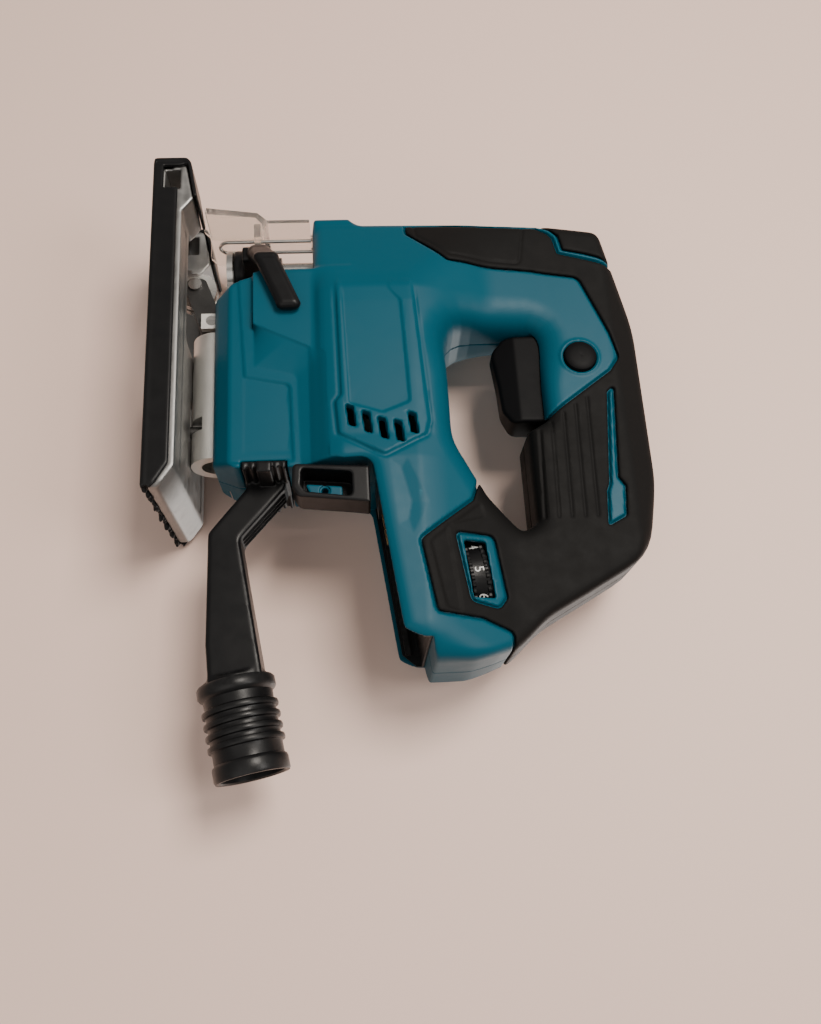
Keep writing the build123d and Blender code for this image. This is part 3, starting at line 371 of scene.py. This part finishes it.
RUBBER_EDGE = [
    (-30, 109, 0.5), (-6, 109.5, 1), (11.5, 127, 3), (13.5, 165, 9), (17, 186, 5), (46, 197, 8), (57, 200, 4),
    (64, 195, 4), (90, 159, 3), (92, 142, 3), (125, 129.5, 3), (143, 107, 3), (172, 112, 3),
    (174, 130, 4), (179, 142, 3), (200, 142, 0.5), (200, 240, 0.5), (-30, 240, 0.5),
]
# teal pieces let into the rubber: grip strip, front line, frame of the dial
GRIP_STRIP = [(72, 195.5, 1), (74.5, 192.8, 0.5), (117, 188.5, 0.5), (120, 187.2, 0.5), (135, 186, 0.5),
              (131, 193.5, 1), (118, 194.8, 1), (114, 192.2, 0.5)]
FRONT_LINE = [(-10.6, 168.5, 0.3), (-7, 174.7, 1), (-4.2, 176.8, 1), (3.8, 178.4, 1), (7.0, 190, 1),
              (10.8, 202, 0.3),
              (8.4, 203, 0.3), (4.4, 190.7, 1), (2, 180.6, 1), (-5.8, 179.2, 1), (-9.2, 176.2, 1),
              (-13, 169, 0.3)]
DIAL_FRAME = [(139.5, 121.5, 2), (167, 126, 3), (169.5, 137, 3), (165, 140.5, 2), (140, 137, 3)]
DIAL_WINDOW = [(142.5, 124.3, 0.8), (165.5, 126.8, 0.8), (165.5, 135.8, 0.8), (142.5, 133.3, 0.8)]
# lower level of the gear case's flank: where the slope begins, where it ends, and the sunk field in it
SLOPE_TOP = [(0, 41.8, 0.3), (43, 42, 0.5), (58, 72, 3), (130, 73.8, 0.5), (130, 0, 0.5), (0, 0, 0.5)]
SLOPE_FOOT = [(0, 41.8, 0.3), (61.5, 42.2, 1), (66, 60, 3), (130, 62, 0.5), (130, 0, 0.5), (0, 0, 0.5)]
SUNK_FIELD = [(0, 34, 0.3), (66, 38, 1), (70, 57, 3), (105, 58, 1), (105, 20, 0.5), (0, 20, 0.5)]
LOW_STEP = 4.2


def body_field(x, y, z):
    """Outer form of the moulded body on one side of its middle plane."""
    upper = smooth_max(smooth_max(outline(SIDE, y, z), outline(SECTION, x, z), 5.0), outline(PLAN, x, y), 5.0)
    lower = smooth_max(outline(CASE_SIDE, y, z), outline(CASE_SECTION, x, z), 2.5)
    brow = smooth_max(outline(BROW, y, z), x - 17.5, 2.0)
    both = smooth_min(smooth_min(upper, brow, 1.5), lower, 1.5)
    hand = smooth_max(both, -outline(HAND, y, z), 9.0 + 5.0 * step(y - 60, 12))
    bay = np.maximum(outline(BAY, y, z), x - 31.0)
    return smooth_max(hand, -bay, 0.8)


def case_level(y, z):
    """Depth of the gear case's lower flank, with the slope that leads down to it."""
    top, foot = outline(SLOPE_TOP, y, z), outline(SLOPE_FOOT, y, z)
    share = np.clip(-top / np.maximum(np.maximum(foot, 0) - top, 0.6), 0, 1)
    low = np.where(top < 0, 0.7 + (LOW_STEP - 0.7) * share, 0)
    return (low + 0.55 * step(outline(SUNK_FIELD, y, z), 0.6)).astype(np.float32)


def side_details(y, z):
    """Small relief of the moulded flank: how far each spot is sunk, in mm."""
    panel = outline([(24, 77.5, 1), (80, 78.5, 1), (83, 76, 1), (97, 77, 2), (107, 95, 2),
                     (98, 112, 2), (92, 113.5, 2), (24, 109.5, 2)], y, z)
    plate = outline([(15, 79.5, 1), (84, 81.5, 1), (88.5, 95, 2), (84, 106.2, 2), (36, 104.6, 3),
                     (30, 100, 3),
                     (15, 100, 1)], y, z)
    deep = -0.85 * step(panel, 0.6) + 0.6 * step(plate, 0.5) + 0.45 * np.exp(-((panel - 1.1) / 0.7) ** 2)
    deep = deep * np.clip((y - 24) / 12, 0, 1)
    for v, w in VENTS:
        slot = outline([(v - 5, w - 1.9, 0.2), (v + 4, w - 0.9, 0.2), (v + 5, w + 1.9, 0.2),
                        (v - 4, w + 0.9, 0.2)], y, z)
        deep = deep + 4.0 * step(slot, 0.35)
    # collar round the lock button, bevel along the foot
    ring = np.hypot(y - BUTTON[0], z - BUTTON[1])
    deep = deep - 0.5 * np.exp(-((ring - 8.3) / 0.6) ** 2)
    fold = outline([(109, 104, 2), (128, 111.5, 2), (141, 104.5, 1), (137, 99, 1), (109, 96.5, 1)], y, z)
    return deep + 0.8 * np.clip(-fold / 7, 0, 1)


def rubber_details(y, z):
    """Relief of the rubber: fan of grooves on the grip, sunk field under the dial, groove at the front."""
    deep = np.zeros(np.broadcast(y, z).shape, np.float32)
    for first, level in GROOVE_ENDS:
        deep += 0.55 * step(bar(y, z, (first, level), (131, level - 1.5), 0.55), 0.5)
    top = outline([(-14, 113, 0.5), (-4, 114, 1), (8, 128, 2), (10, 160, 3), (-14, 164, 1)], y, z)
    deep += 0.45 * np.exp(-(top / 0.7) ** 2)
    field = outline([(126, 133, 2), (144, 111, 2), (170, 116, 2), (172, 122, 2), (137, 118, 2),
                     (132, 134, 2)], y, z)
    return deep + 0.5 * step(field, 0.8)


def moulded_cuts(x, y, z, left):
    """Openings in one half shell."""
    cuts = smallest(
        largest(x - 12, slab(18, 98, y), z - 34),
        largest(x - 7.5, slab(10, 22.5, y), z - 50),
        np.maximum(np.hypot(x, y) - 8.2, z - 71.5),
        largest(x - 9.3, slab(*TRIGGER_SLOT, y), slab(150, 176, z)),
        np.hypot(y - BUTTON[0], z - BUTTON[1]) - 7.3,
        np.maximum(slab(104.2, 116, y), slab(36.5, 55.5, z)),
        largest(x - 8.7, slab(96, 116, y), slab(36.5, 55.5, z)),
    )
    if left:
        return np.minimum(cuts, np.maximum(9 - x, outline(DIAL_WINDOW, y, z)))
    cuts = np.minimum(cuts, np.hypot(y - 66, z - 51) - 3.1)
    for v, w in SCREWS:
        cuts = np.minimum(cuts, np.maximum(np.hypot(y - v, z - w) - 3.7, 9 - x))
    return cuts


SCREWS = [(-8.7, 100), (100, 113), (26, 150), (25, 196), (112, 200), (152, 177), (177, 134), (101, 30),
          (27, 42)]


def make_halves():
    axes = grid((0, -19.5, 24), (36, 193, 213), FINE)
    x, y, z = axes
    form = body_field(x, y, z)
    edge = outline(RUBBER_EDGE, y, z)
    front = outline([(-30, 104, 0.3), (-11.2, 104, 0.3), (-10.4, 171.5, 0.3), (-30, 171.5, 0.3)], y, z)
    flank = step(9.0 - x, 3.0)
    low = case_level(y, z) * flank
    hollow = form + 3.0 + np.minimum(low, 2.0)
    swell = np.clip((z - 65) * 0.477, 0, 4.5)
    sunk = smooth_max(form, x - 28 - swell + low, 0.8)
    relief = np.where(low > 0.02, sunk, form) + side_details(y, z) * flank
    for name, left in (("left", True), ("right", False)):
        zone = largest(edge, -outline(GRIP_STRIP, y, z), -outline(FRONT_LINE, y, z), -front)
        if left:
            zone = np.maximum(zone, -outline(DIAL_FRAME, y, z))
        cuts = moulded_cuts(x, y, z, left)
        skin = relief + 1.4 * step(zone - 0.5, 0.4) + 0.45 * np.exp(-(zone / 0.6) ** 2)
        shell = largest(skin, -hollow, -cuts, -x)
        grip = smooth_max(form - 0.15 + rubber_details(y, z) * flank, zone + 0.3, 1.2)
        grip = largest(grip, -(form + 1.5), -cuts, -x)
        teal = field_mesh("shell_" + name, shell, axes, 0.32, not left)
        rubber = field_mesh("rubber_" + name, grip, axes, 0.32, not left)
        place(teal, TEAL, "housing", ["housing_" + name])
        place(rubber, RUBBER, "housing", ["grip_" + name])


make_halves()


# ---------------------------------------------------------------- smaller pieces
def lathe(name, profile, origin, axis, segments=96, bevel=0.15):
    """Closed (radius, along) profile turned about an axis."""
    turn = Vector(axis).to_track_quat("Z", "Y").to_matrix()
    verts, faces = [], []
    for i in range(segments):
        a = 2 * math.pi * i / segments
        for r, h in profile:
            p = turn @ Vector((r * math.cos(a), r * math.sin(a), h)) + Vector(origin)
            verts.append(p * MM)
    n = len(profile)
    for i in range(segments):
        j = (i + 1) % segments
        for k in range(n):
            m = (k + 1) % n
            faces.append((i * n + k, j * n + k, j * n + m, i * n + m))
    mesh = bpy.data.meshes.new(name)
    mesh.from_pydata(verts, [], faces)
    obj = bpy.data.objects.new(name, mesh)
    bpy.context.scene.collection.objects.link(obj)
    tidy_mesh(obj)
    if bevel:
        apply_modifier(obj, "BEVEL", width=bevel * MM, segments=2, limit_method="ANGLE",
                       angle_limit=math.radians(35))
    obj.data.shade_smooth()
    obj.data.set_sharp_from_angle(angle=math.radians(40))
    return obj


def tidy_mesh(obj):
    work = bmesh.new()
    work.from_mesh(obj.data)
    bmesh.ops.remove_doubles(work, verts=work.verts, dist=1e-6)
    bmesh.ops.recalc_face_normals(work, faces=work.faces)
    work.to_mesh(obj.data)
    work.free()


def tube_field(x, y, z, origin, axis, outer, inner, low, high, k=0.6):
    """Field of a round tube along an axis in the YZ plane."""
    along = (y - origin[1]) * axis[1] + (z - origin[2]) * axis[2]
    across = np.hypot(x - origin[0], (y - origin[1]) * axis[2] - (z - origin[2]) * axis[1])
    return smooth_max(smooth_max(across - outer, inner - across, k), slab(low, high, along), k)


def make_lever():
    axes = grid((-11, -11, 30), (34.5, 41, 64), SMALL)
    x, y, z = axes
    r = np.hypot(x, y)
    hub = smooth_max(smooth_max(r - 10.4, slab(31, 45, z), 1.5), LEVER_BORE - r, 0.5)
    path = [(7.0, 0.5, 40.2, 3.6), (21.0, 3.6, 44.2, 3.6), (30.6, 12.6, 48.0, 2.4), (30.7, 35.5, 57.2, 2.3)]
    arm = 1e3 + 0 * (x + y + z)
    rib = arm
    for (x0, y0, z0, r0), (x1, y1, z1, r1) in zip(path[:-1], path[1:]):
        ex, ey = x1 - x0, y1 - y0
        t = np.clip(((x - x0) * ex + (y - y0) * ey) / (ex * ex + ey * ey), 0, 1)
        half = r0 + (r1 - r0) * t
        flat = np.hypot(x - x0 - ex * t, y - y0 - ey * t)
        rise = np.abs(z - z0 - (z1 - z0) * t)
        arm = smooth_min(arm, np.hypot(flat, np.maximum(rise - 5.3 + half, 0)) - half, 1.0)
        rib = smooth_min(rib, np.hypot(flat, np.maximum(rise - 2.2, 0)) - half - 0.5, 0.6)
    arm = smooth_max(smooth_min(arm, np.maximum(rib, 14 - y), 0.5), LEVER_BORE - r, 0.5)
    shoulder = outline([(6, -2.8, 1), (21, -0.5, 2), (21.5, 7, 2), (6, 7, 1)], x, y)
    shoulder = smooth_max(shoulder, slab(36.4, 45, z), 1.0)
    arm = smooth_min(arm, np.maximum(shoulder, 7.4 - r), 0.8)
    lever = field_mesh("lever", smooth_min(hub, arm, 2.0), axes, 0.7)
    place(lever, BLACK, "blade_lever", ["blade_lever"])


def make_trigger():
    axes = grid((-9.2, 41, 144), (9.2, 84.5, 172), SMALL)
    x, y, z = axes
    face = [(41.4, 169.5, 1), (41.8, 151, 5), (47.5, 145.5, 6), (64, 147.5, 40), (77, 148.3, 8),
            (83.6, 152, 4),
            (84, 169.5, 1)]
    front = [(0, 144, 1), (3.6, 144, 3), (9, 155.5, 3), (9, 172, 0.5), (-9, 172, 1), (-9, 155.5, 3),
             (-3.6, 144, 3)]
    form = smooth_max(outline(face, y, z), outline(front, x, z), 1.6)
    stem = largest(np.abs(x) - 4, slab(68, 76, y), slab(160, 171.5, z))
    trigger = field_mesh("trigger_grip", np.minimum(form, stem), axes, 0.7)
    place(trigger, GRIP_BLACK, "trigger", ["trigger"])


def make_button():
    profile = [(0.001, -17.2), (6.6, -17.2), (7.0, -16.7), (7.0, -12.5), (4, -12.5), (4, 12), (7, 12),
               (7, 17.9),
               (6.7, 18.4), (5.8, 18.8), (4.0, 19.05), (2.0, 19.18), (0.001, 19.2)]
    button = lathe("button", profile, (0, *BUTTON), (1, 0, 0), 72, 0.12)
    place(button, GRIP_BLACK, "lock_button", ["lock_button"])


def make_cuff():
    profile = [(13.1, -0.5), (14.9, -0.5), (15.6, 0.4), (15.6, 3.7), (15.0, 4.6), (13.9, 5.4), (13.7, 8.8)]
    for start in (9.5, 14.0, 18.5, 23.0):
        profile += [(14.0, start - 0.3), (15.0, start + 0.1), (15.2, start + 0.8), (15.2, start + 1.5),
                    (15.0, start + 2.1), (14.0, start + 2.5), (13.8, start + 3.2)]
    profile += [(13.8, 30.2), (14.6, 30.9), (14.9, 31.8), (14.9, 36.2), (14.5, 37.0), (13.2, 37.0),
                (12.5, 36.4),
                (12.5, 12.1), (13.1, 12.0)]
    cuff = lathe("cuff", profile, SOCKET, SOCKET_AXIS, 96, 0)
    place(cuff, CUFF, "housing", ["rubber_cuff"])


def make_nozzle():
    axes = grid((-24, 98.8, 20), (24, 204.5, 57), FINE)
    x, y, z = axes
    side = [(104, 37, 0.5), (110, 37, 3), (129, 21.5, 5), (176, 21.5, 12), (193, 23.0, 1), (193, 44.4, 1),
            (187, 43.8, 3), (132, 34.6, 5), (111, 53, 3), (104, 55, 0.5)]
    ax = np.abs(x)
    duct = smooth_max(outline(side, y, z), outline([(0, 99, 1), (8.2, 100, 0.5), (8.2, 128, 8),
                                                    (11, 193, 0.5),
                                                    (-40, 193, 1), (-40, 99, 1)], ax, y), 1.8)
    collar = tube_field(x, y, z, SOCKET, SOCKET_AXIS, 13.0, 0, -2, 12, 0.8)
    bore = tube_field(x, y, z, SOCKET, SOCKET_AXIS, 11.2, -5, -2, 20, 0.5)
    inner = [(90, 39, 0.5), (110.5, 39, 2), (130, 23.3, 4), (194, 25.2, 1), (194, 42.4, 1), (187.5, 42, 2),
             (131.5, 32.6, 4), (110, 51, 2), (90, 53, 0.5)]
    core = np.maximum(outline(inner, y, z), outline([(0, 80, 1), (6.5, 80, 0.5), (6.5, 128, 8),
                                                     (9.2, 200, 0.5),
                                                     (-40, 200, 1), (-40, 80, 1)], ax, y))
    # raised rim round the socket end and ribs down the slope
    rim = smooth_max(np.maximum(ax - 8.6, slab(104.4, 107.6, y)), slab(36.6, 55.2, z), 0.6)
    form = smooth_min(smooth_min(duct, collar, 1.5), rim, 0.5)
    flange = smooth_max(np.maximum(ax - 23.5, slab(104.7, 107.0, y)), slab(37, 55, z), 0.6)
    for level in (38.0, 41.2, 50.8, 54.0):
        ridge = smooth_max(np.maximum(ax - 23.9, slab(104.7, 107.9, y)), np.abs(z - level) - 0.7, 0.4)
        flange = smooth_min(flange, ridge, 0.3)
    clip = smooth_max(np.maximum(ax - 24.4, slab(104.7, 109.4, y)), np.abs(z - 46) - 3.0, 0.6)
    form = smallest(form, flange, clip)
    for shift in (-3.6, 0.0, 3.6):
        rib = np.maximum(np.abs(x - shift) - 0.45, bar(y, z, (112, 52.4), (131, 35.6), 0.9))
        form = smooth_min(form, rib, 0.4)
    nozzle = field_mesh("nozzle", largest(form, -core, -bore), axes, 0.6)
    place(nozzle, BLACK, "housing", ["dust_nozzle"])


def plan_field(x, y, half, front, rear):
    """Outline of the shoe from above, with the front gap and the roller's window left out."""
    ax = np.abs(x)
    whole = outline([(-60, front, 0.1), (half, front, 5), (half, rear, 4), (-60, rear, 0.1)], ax, y)
    gap = np.maximum(ax - 13, y - 5)
    window = outline([(-60, -12, 0.1), (18, -12, 5), (18, 44, 5), (-60, 44, 0.1)], ax, y)
    return smooth_max(whole, -np.minimum(gap, window), 0.6)


def fence_slot(y, z):
    """Slot for a fence that runs across the shoe and its cover."""
    return np.maximum(slab(-30.5, -20.5, y), slab(5, 11.4, z))


NOSE = [(-33.4, 8, 0.5), (-33.4, 13.8, 2), (-15.5, 17.2, 1), (-9, 12.4, 1), (-9, 8, 0.5)]


def make_shoe():
    axes = grid((-36, -34, 2), (36, 119.5, 17.5), FINE)
    x, y, z = axes
    flat = plan_field(x, y, SHOE_HALF, -33.3, 119)
    slope = (y - 110) * 0.573 + (z - 12.5) * 0.819
    deck = smooth_max(smooth_max(flat, slab(2.2, 12.5, z), 0.8), slope, 0.8)
    nose = smooth_max(smooth_max(outline(NOSE, y, z), np.abs(x) - SHOE_HALF, 0.8), 13 - np.abs(x), 0.6)
    form = smooth_min(deck, nose, 0.5)
    ax = np.abs(x)
    under = np.minimum(np.maximum(slab(20.4, 33.2, ax), slab(-6, 112, y)),
                       np.maximum(ax - 18, slab(47.5, 112, y)))
    form = np.maximum(form, -smooth_max(under, z - 9.3, 0.5))
    form = np.maximum(form, -fence_slot(y, z))
    slot = bar(x, y, *BOLT_SLOT, 3)
    form = np.maximum(form, -slot)
    # shallow pressed channels on the deck
    for x0 in (-25.5, 25.5):
        form = np.maximum(form, -np.maximum(bar(x, y, (x0, -2), (x0, 104), 3.2), 12.0 - z))
    shoe = field_mesh("shoe_deck", form, axes, 0.6)
    place(shoe, CAST, "shoe", ["shoe"])


def make_plate():
    axes = grid((-38, -35.5, 0), (38, 121, 19.3), FINE)
    x, y, z = axes
    ax = np.abs(x)
    flat = plan_field(x, y, PLATE_HALF, -35.5, 121)
    sole = smooth_max(flat, slab(0, 2.2, z), 0.6)
    wall_top = outline([(-35.5, -5, 1), (-35.5, 14.2, 3), (-32.2, 14.2, 1), (-31.2, 10.6, 1),
                        (109.5, 10.6, 2),
                        (121, 3.4, 1), (121, -5, 1)], y, z)
    walls = smooth_max(smooth_max(flat, SHOE_HALF - ax, 0.4), wall_top, 0.7)
    hook = [(-35.5, 0.0, 2), (-35.5, 14.5, 3), (-33.0, 16.2, 2), (-15, 19.2, 0.5),
            (-15, 17.6, 0.5), (-31.8, 14.8, 1.5), (-33.4, 13.0, 1), (-33.4, 1, 0.4), (-20, 0.0, 0.4)]
    front = smooth_max(smooth_max(outline(hook, y, z), ax - PLATE_HALF, 0.8), 13 - ax, 0.5)
    form = smooth_max(smooth_min(smooth_min(sole, walls, 0.3), front, 0.3), -z, 0.3)
    form = np.maximum(form, -largest(slab(-31.4, -19.8, y), slab(4.4, 13.8, z), 35.4 - ax))
    form = np.maximum(form, -fence_slot(y, z))
    form = np.maximum(form, -bar(x, y, *BOLT_SLOT, 6))
    # the rear edge is chipped and torn
    tear = 1.2 * np.sin(x * 0.55 + 1) + 0.9 * np.sin(x * 1.7) + 0.7 * np.sin(z * 2.1 + x * 0.7)
    form = np.maximum(form, y - 118.6 - tear)
    plate = field_mesh("sole_cover", form, axes, 0.6)
    place(plate, BLACK, "shoe", ["cover_plate"])


def make_key_frame():
    axes = grid((14, 107, 57), (29.5, 127, 89), 0.4)
    x, y, z = axes
    face = [(108.4, 58, 2), (118.5, 57.5, 2), (122.5, 60, 3), (125, 82, 3), (126, 88.6, 1), (110.2, 88.6, 1)]
    form = smooth_max(outline(face, y, z), slab(14, 29.5, x), 1.0)
    pocket = outline([(110.5, 61.5, 1.5), (117.5, 61, 2), (120.5, 63, 2), (123, 81.5, 2), (112.5, 81.5, 2)],
                     y, z)
    form = smooth_max(form, -np.maximum(pocket, 16.5 - x), 0.5)
    form = np.maximum(form, -np.maximum(y - 109.2, 67 - z))
    key_frame = field_mesh("key_frame", form, axes, 0.6)
    place(key_frame, BLACK, "housing", ["wrench_holder"])
    axes = grid((16.5, 115, 62), (24.5, 122, 78), 0.3)
    x, y, z = axes
    post = outline([(115.5, 62.5, 1), (119.8, 64.6, 1), (121.4, 77.5, 1), (117, 77.5, 1)], y, z)
    form = smooth_max(post, slab(16.5, 24.5, x), 0.7)
    hole = np.hypot(y - 118.6, z - 70.5)
    form = np.maximum(form, -smallest(np.maximum(hole - 1.4, 19 - x), np.maximum(hole - 2.2, 23.6 - x)))
    post = field_mesh("screw_post", form, axes, 0.6)
    place(post, TEAL, "housing", ["rear_post"])


def make_dial():
    slope = math.radians(7.5)
    centre = Vector((9.0, 154.0, 129.8))
    lean = Vector((0, -math.sin(slope), math.cos(slope)))
    notches = 36
    profile = []
    for i in range(notches * 4):
        a = 2 * math.pi * i / (notches * 4)
        r = 16.5 if i % 4 in (0, 1) else 15.9
        profile.append((r * math.cos(a), r * math.sin(a)))
    turn = lean.to_track_quat("Z", "Y").to_matrix()
    verts, faces = [], []
    n = len(profile)
    levels = ((-4.2, 0.94), (-3.4, 1.0), (-2.4, 1.0), (-2.2, 0.985), (2.2, 0.985), (2.4, 1.0), (3.4, 1.0),
              (4.2, 0.94))
    for h, share in levels:
        for u, v in profile:
            s = share if abs(h) > 2.3 else 15.85 / math.hypot(u, v)
            verts.append((turn @ Vector((u * s, v * s, h)) + centre) * MM)
    for k in range(len(levels) - 1):
        for i in range(n):
            j = (i + 1) % n
            faces.append((k * n + i, k * n + j, (k + 1) * n + j, (k + 1) * n + i))
    faces.append(tuple(range(n - 1, -1, -1)))
    faces.append(tuple(range((len(levels) - 1) * n, len(levels) * n)))
    mesh = bpy.data.meshes.new("dial")
    mesh.from_pydata(verts, [], faces)
    dial = bpy.data.objects.new("dial", mesh)
    bpy.context.scene.collection.objects.link(dial)
    tidy_mesh(dial)
    mesh.shade_smooth()
    mesh.set_sharp_from_angle(angle=math.radians(30))
    place(dial, BLACK, "speed_dial", ["speed_dial"])
    for digit in range(1, 7):
        make_digit(str(digit), math.radians(40 * (digit - 5)), centre, lean)


def make_digit(digit, angle, centre, lean):
    """Printed figure that follows the dial's rim; it reads along the slide with its top upward."""
    curve = bpy.data.curves.new("digit_" + digit, "FONT")
    curve.body = digit
    curve.size = 5.2
    curve.extrude = 0.05
    curve.align_x, curve.align_y = "CENTER", "CENTER"
    source = bpy.data.objects.new("digit_" + digit, curve)
    mesh = bpy.data.meshes.new_from_object(source)
    bpy.data.objects.remove(source)
    work = bmesh.new()
    work.from_mesh(mesh)
    bmesh.ops.subdivide_edges(work, edges=[e for e in work.edges if e.calc_length() > 0.6], cuts=2)
    along = Vector((0, lean.z, -lean.y))
    for v in work.verts:
        turn = angle + v.co.x / 16.0
        radius = 15.92 + v.co.z
        spoke = Vector((1, 0, 0)) * math.cos(turn) + along * math.sin(turn)
        v.co = (centre + radius * spoke + lean * v.co.y) * MM
    work.to_mesh(mesh)
    work.free()
    figure = bpy.data.objects.new("digit_" + digit, mesh)
    bpy.context.scene.collection.objects.link(figure)
    place(figure, PAINT, "speed_dial")


make_lever()
make_trigger()
make_button()
make_cuff()
make_nozzle()
make_shoe()
make_plate()
make_key_frame()
make_dial()


# ---------------------------------------------------------------- floor, light, camera
def studio():
    floor_x = -0.039
    mesh = bpy.data.meshes.new("floor")
    r = 3.0
    mesh.from_pydata([(floor_x, -r, -r), (floor_x, r, -r), (floor_x, r, r), (floor_x, -r, r)], [],
                     [(0, 1, 2, 3)])
    floor = bpy.data.objects.new("floor", mesh)
    bpy.context.scene.collection.objects.link(floor)
    mat = bpy.data.materials.new("floor")
    mat.use_nodes = True
    nodes, links = mat.node_tree.nodes, mat.node_tree.links
    bsdf = nodes["Principled BSDF"]
    bsdf.inputs["Base Color"].default_value = (0.85, 0.62, 0.53, 1)
    bsdf.inputs["Roughness"].default_value = 0.55
    back = nodes.new("ShaderNodeNewGeometry")
    clear = nodes.new("ShaderNodeBsdfTransparent")
    mix = nodes.new("ShaderNodeMixShader")
    links.new(back.outputs["Backfacing"], mix.inputs[0])
    links.new(bsdf.outputs[0], mix.inputs[1])
    links.new(clear.outputs[0], mix.inputs[2])
    links.new(mix.outputs[0], nodes["Material Output"].inputs["Surface"])
    mesh.materials.append(mat)
    floor.visible_shadow = False        # lets the lamp under the floor reach the right side

    world = bpy.data.worlds.new("studio")
    world.use_nodes = True
    world.node_tree.nodes["Background"].inputs["Color"].default_value = (1.0, 0.95, 0.9, 1)
    world.node_tree.nodes["Background"].inputs["Strength"].default_value = 0.34
    bpy.context.scene.world = world

    def lamp(name, at, towards, size, power, colour):
        data = bpy.data.lights.new(name, "AREA")
        data.size = size
        data.energy = power
        data.color = colour
        obj = bpy.data.objects.new(name, data)
        obj.location = at
        obj.rotation_euler = (Vector(towards) - Vector(at)).to_track_quat("-Z", "Y").to_euler()
        bpy.context.scene.collection.objects.link(obj)

    middle = (0, 0.09, 0.1)
    lamp("key", (1.08, -0.16, 0.46), middle, 0.40, 14, (1.0, 0.93, 0.85))
    lamp("fill", (0.9, 0.7, -0.3), middle, 0.9, 2.4, (1.0, 0.95, 0.9))
    lamp("below", (-1.1, 0.45, 0.85), middle, 0.7, 11, (1.0, 0.96, 0.92))
    lamp("sheen", (0.9, 0.3, 0.85), middle, 0.4, 4.0, (1.0, 0.96, 0.92))

    right = Vector((0.0396, 0.0539, 0.9978)).normalized()
    back_axis = Vector((0.9391, 0.3392, -0.0556)).normalized()
    up = back_axis.cross(right).normalized()
    right = up.cross(back_axis).normalized()
    data = bpy.data.cameras.new("camera")
    data.sensor_width = 36.0
    data.lens = 33.75
    data.clip_start = 0.01
    camera = bpy.data.objects.new("camera", data)
    turn = Matrix((right, up, back_axis)).transposed().to_4x4()
    camera.matrix_world = Matrix.Translation((0.384, 0.259, 0.083)) @ turn
    bpy.context.scene.collection.objects.link(camera)
    bpy.context.scene.camera = camera


studio()
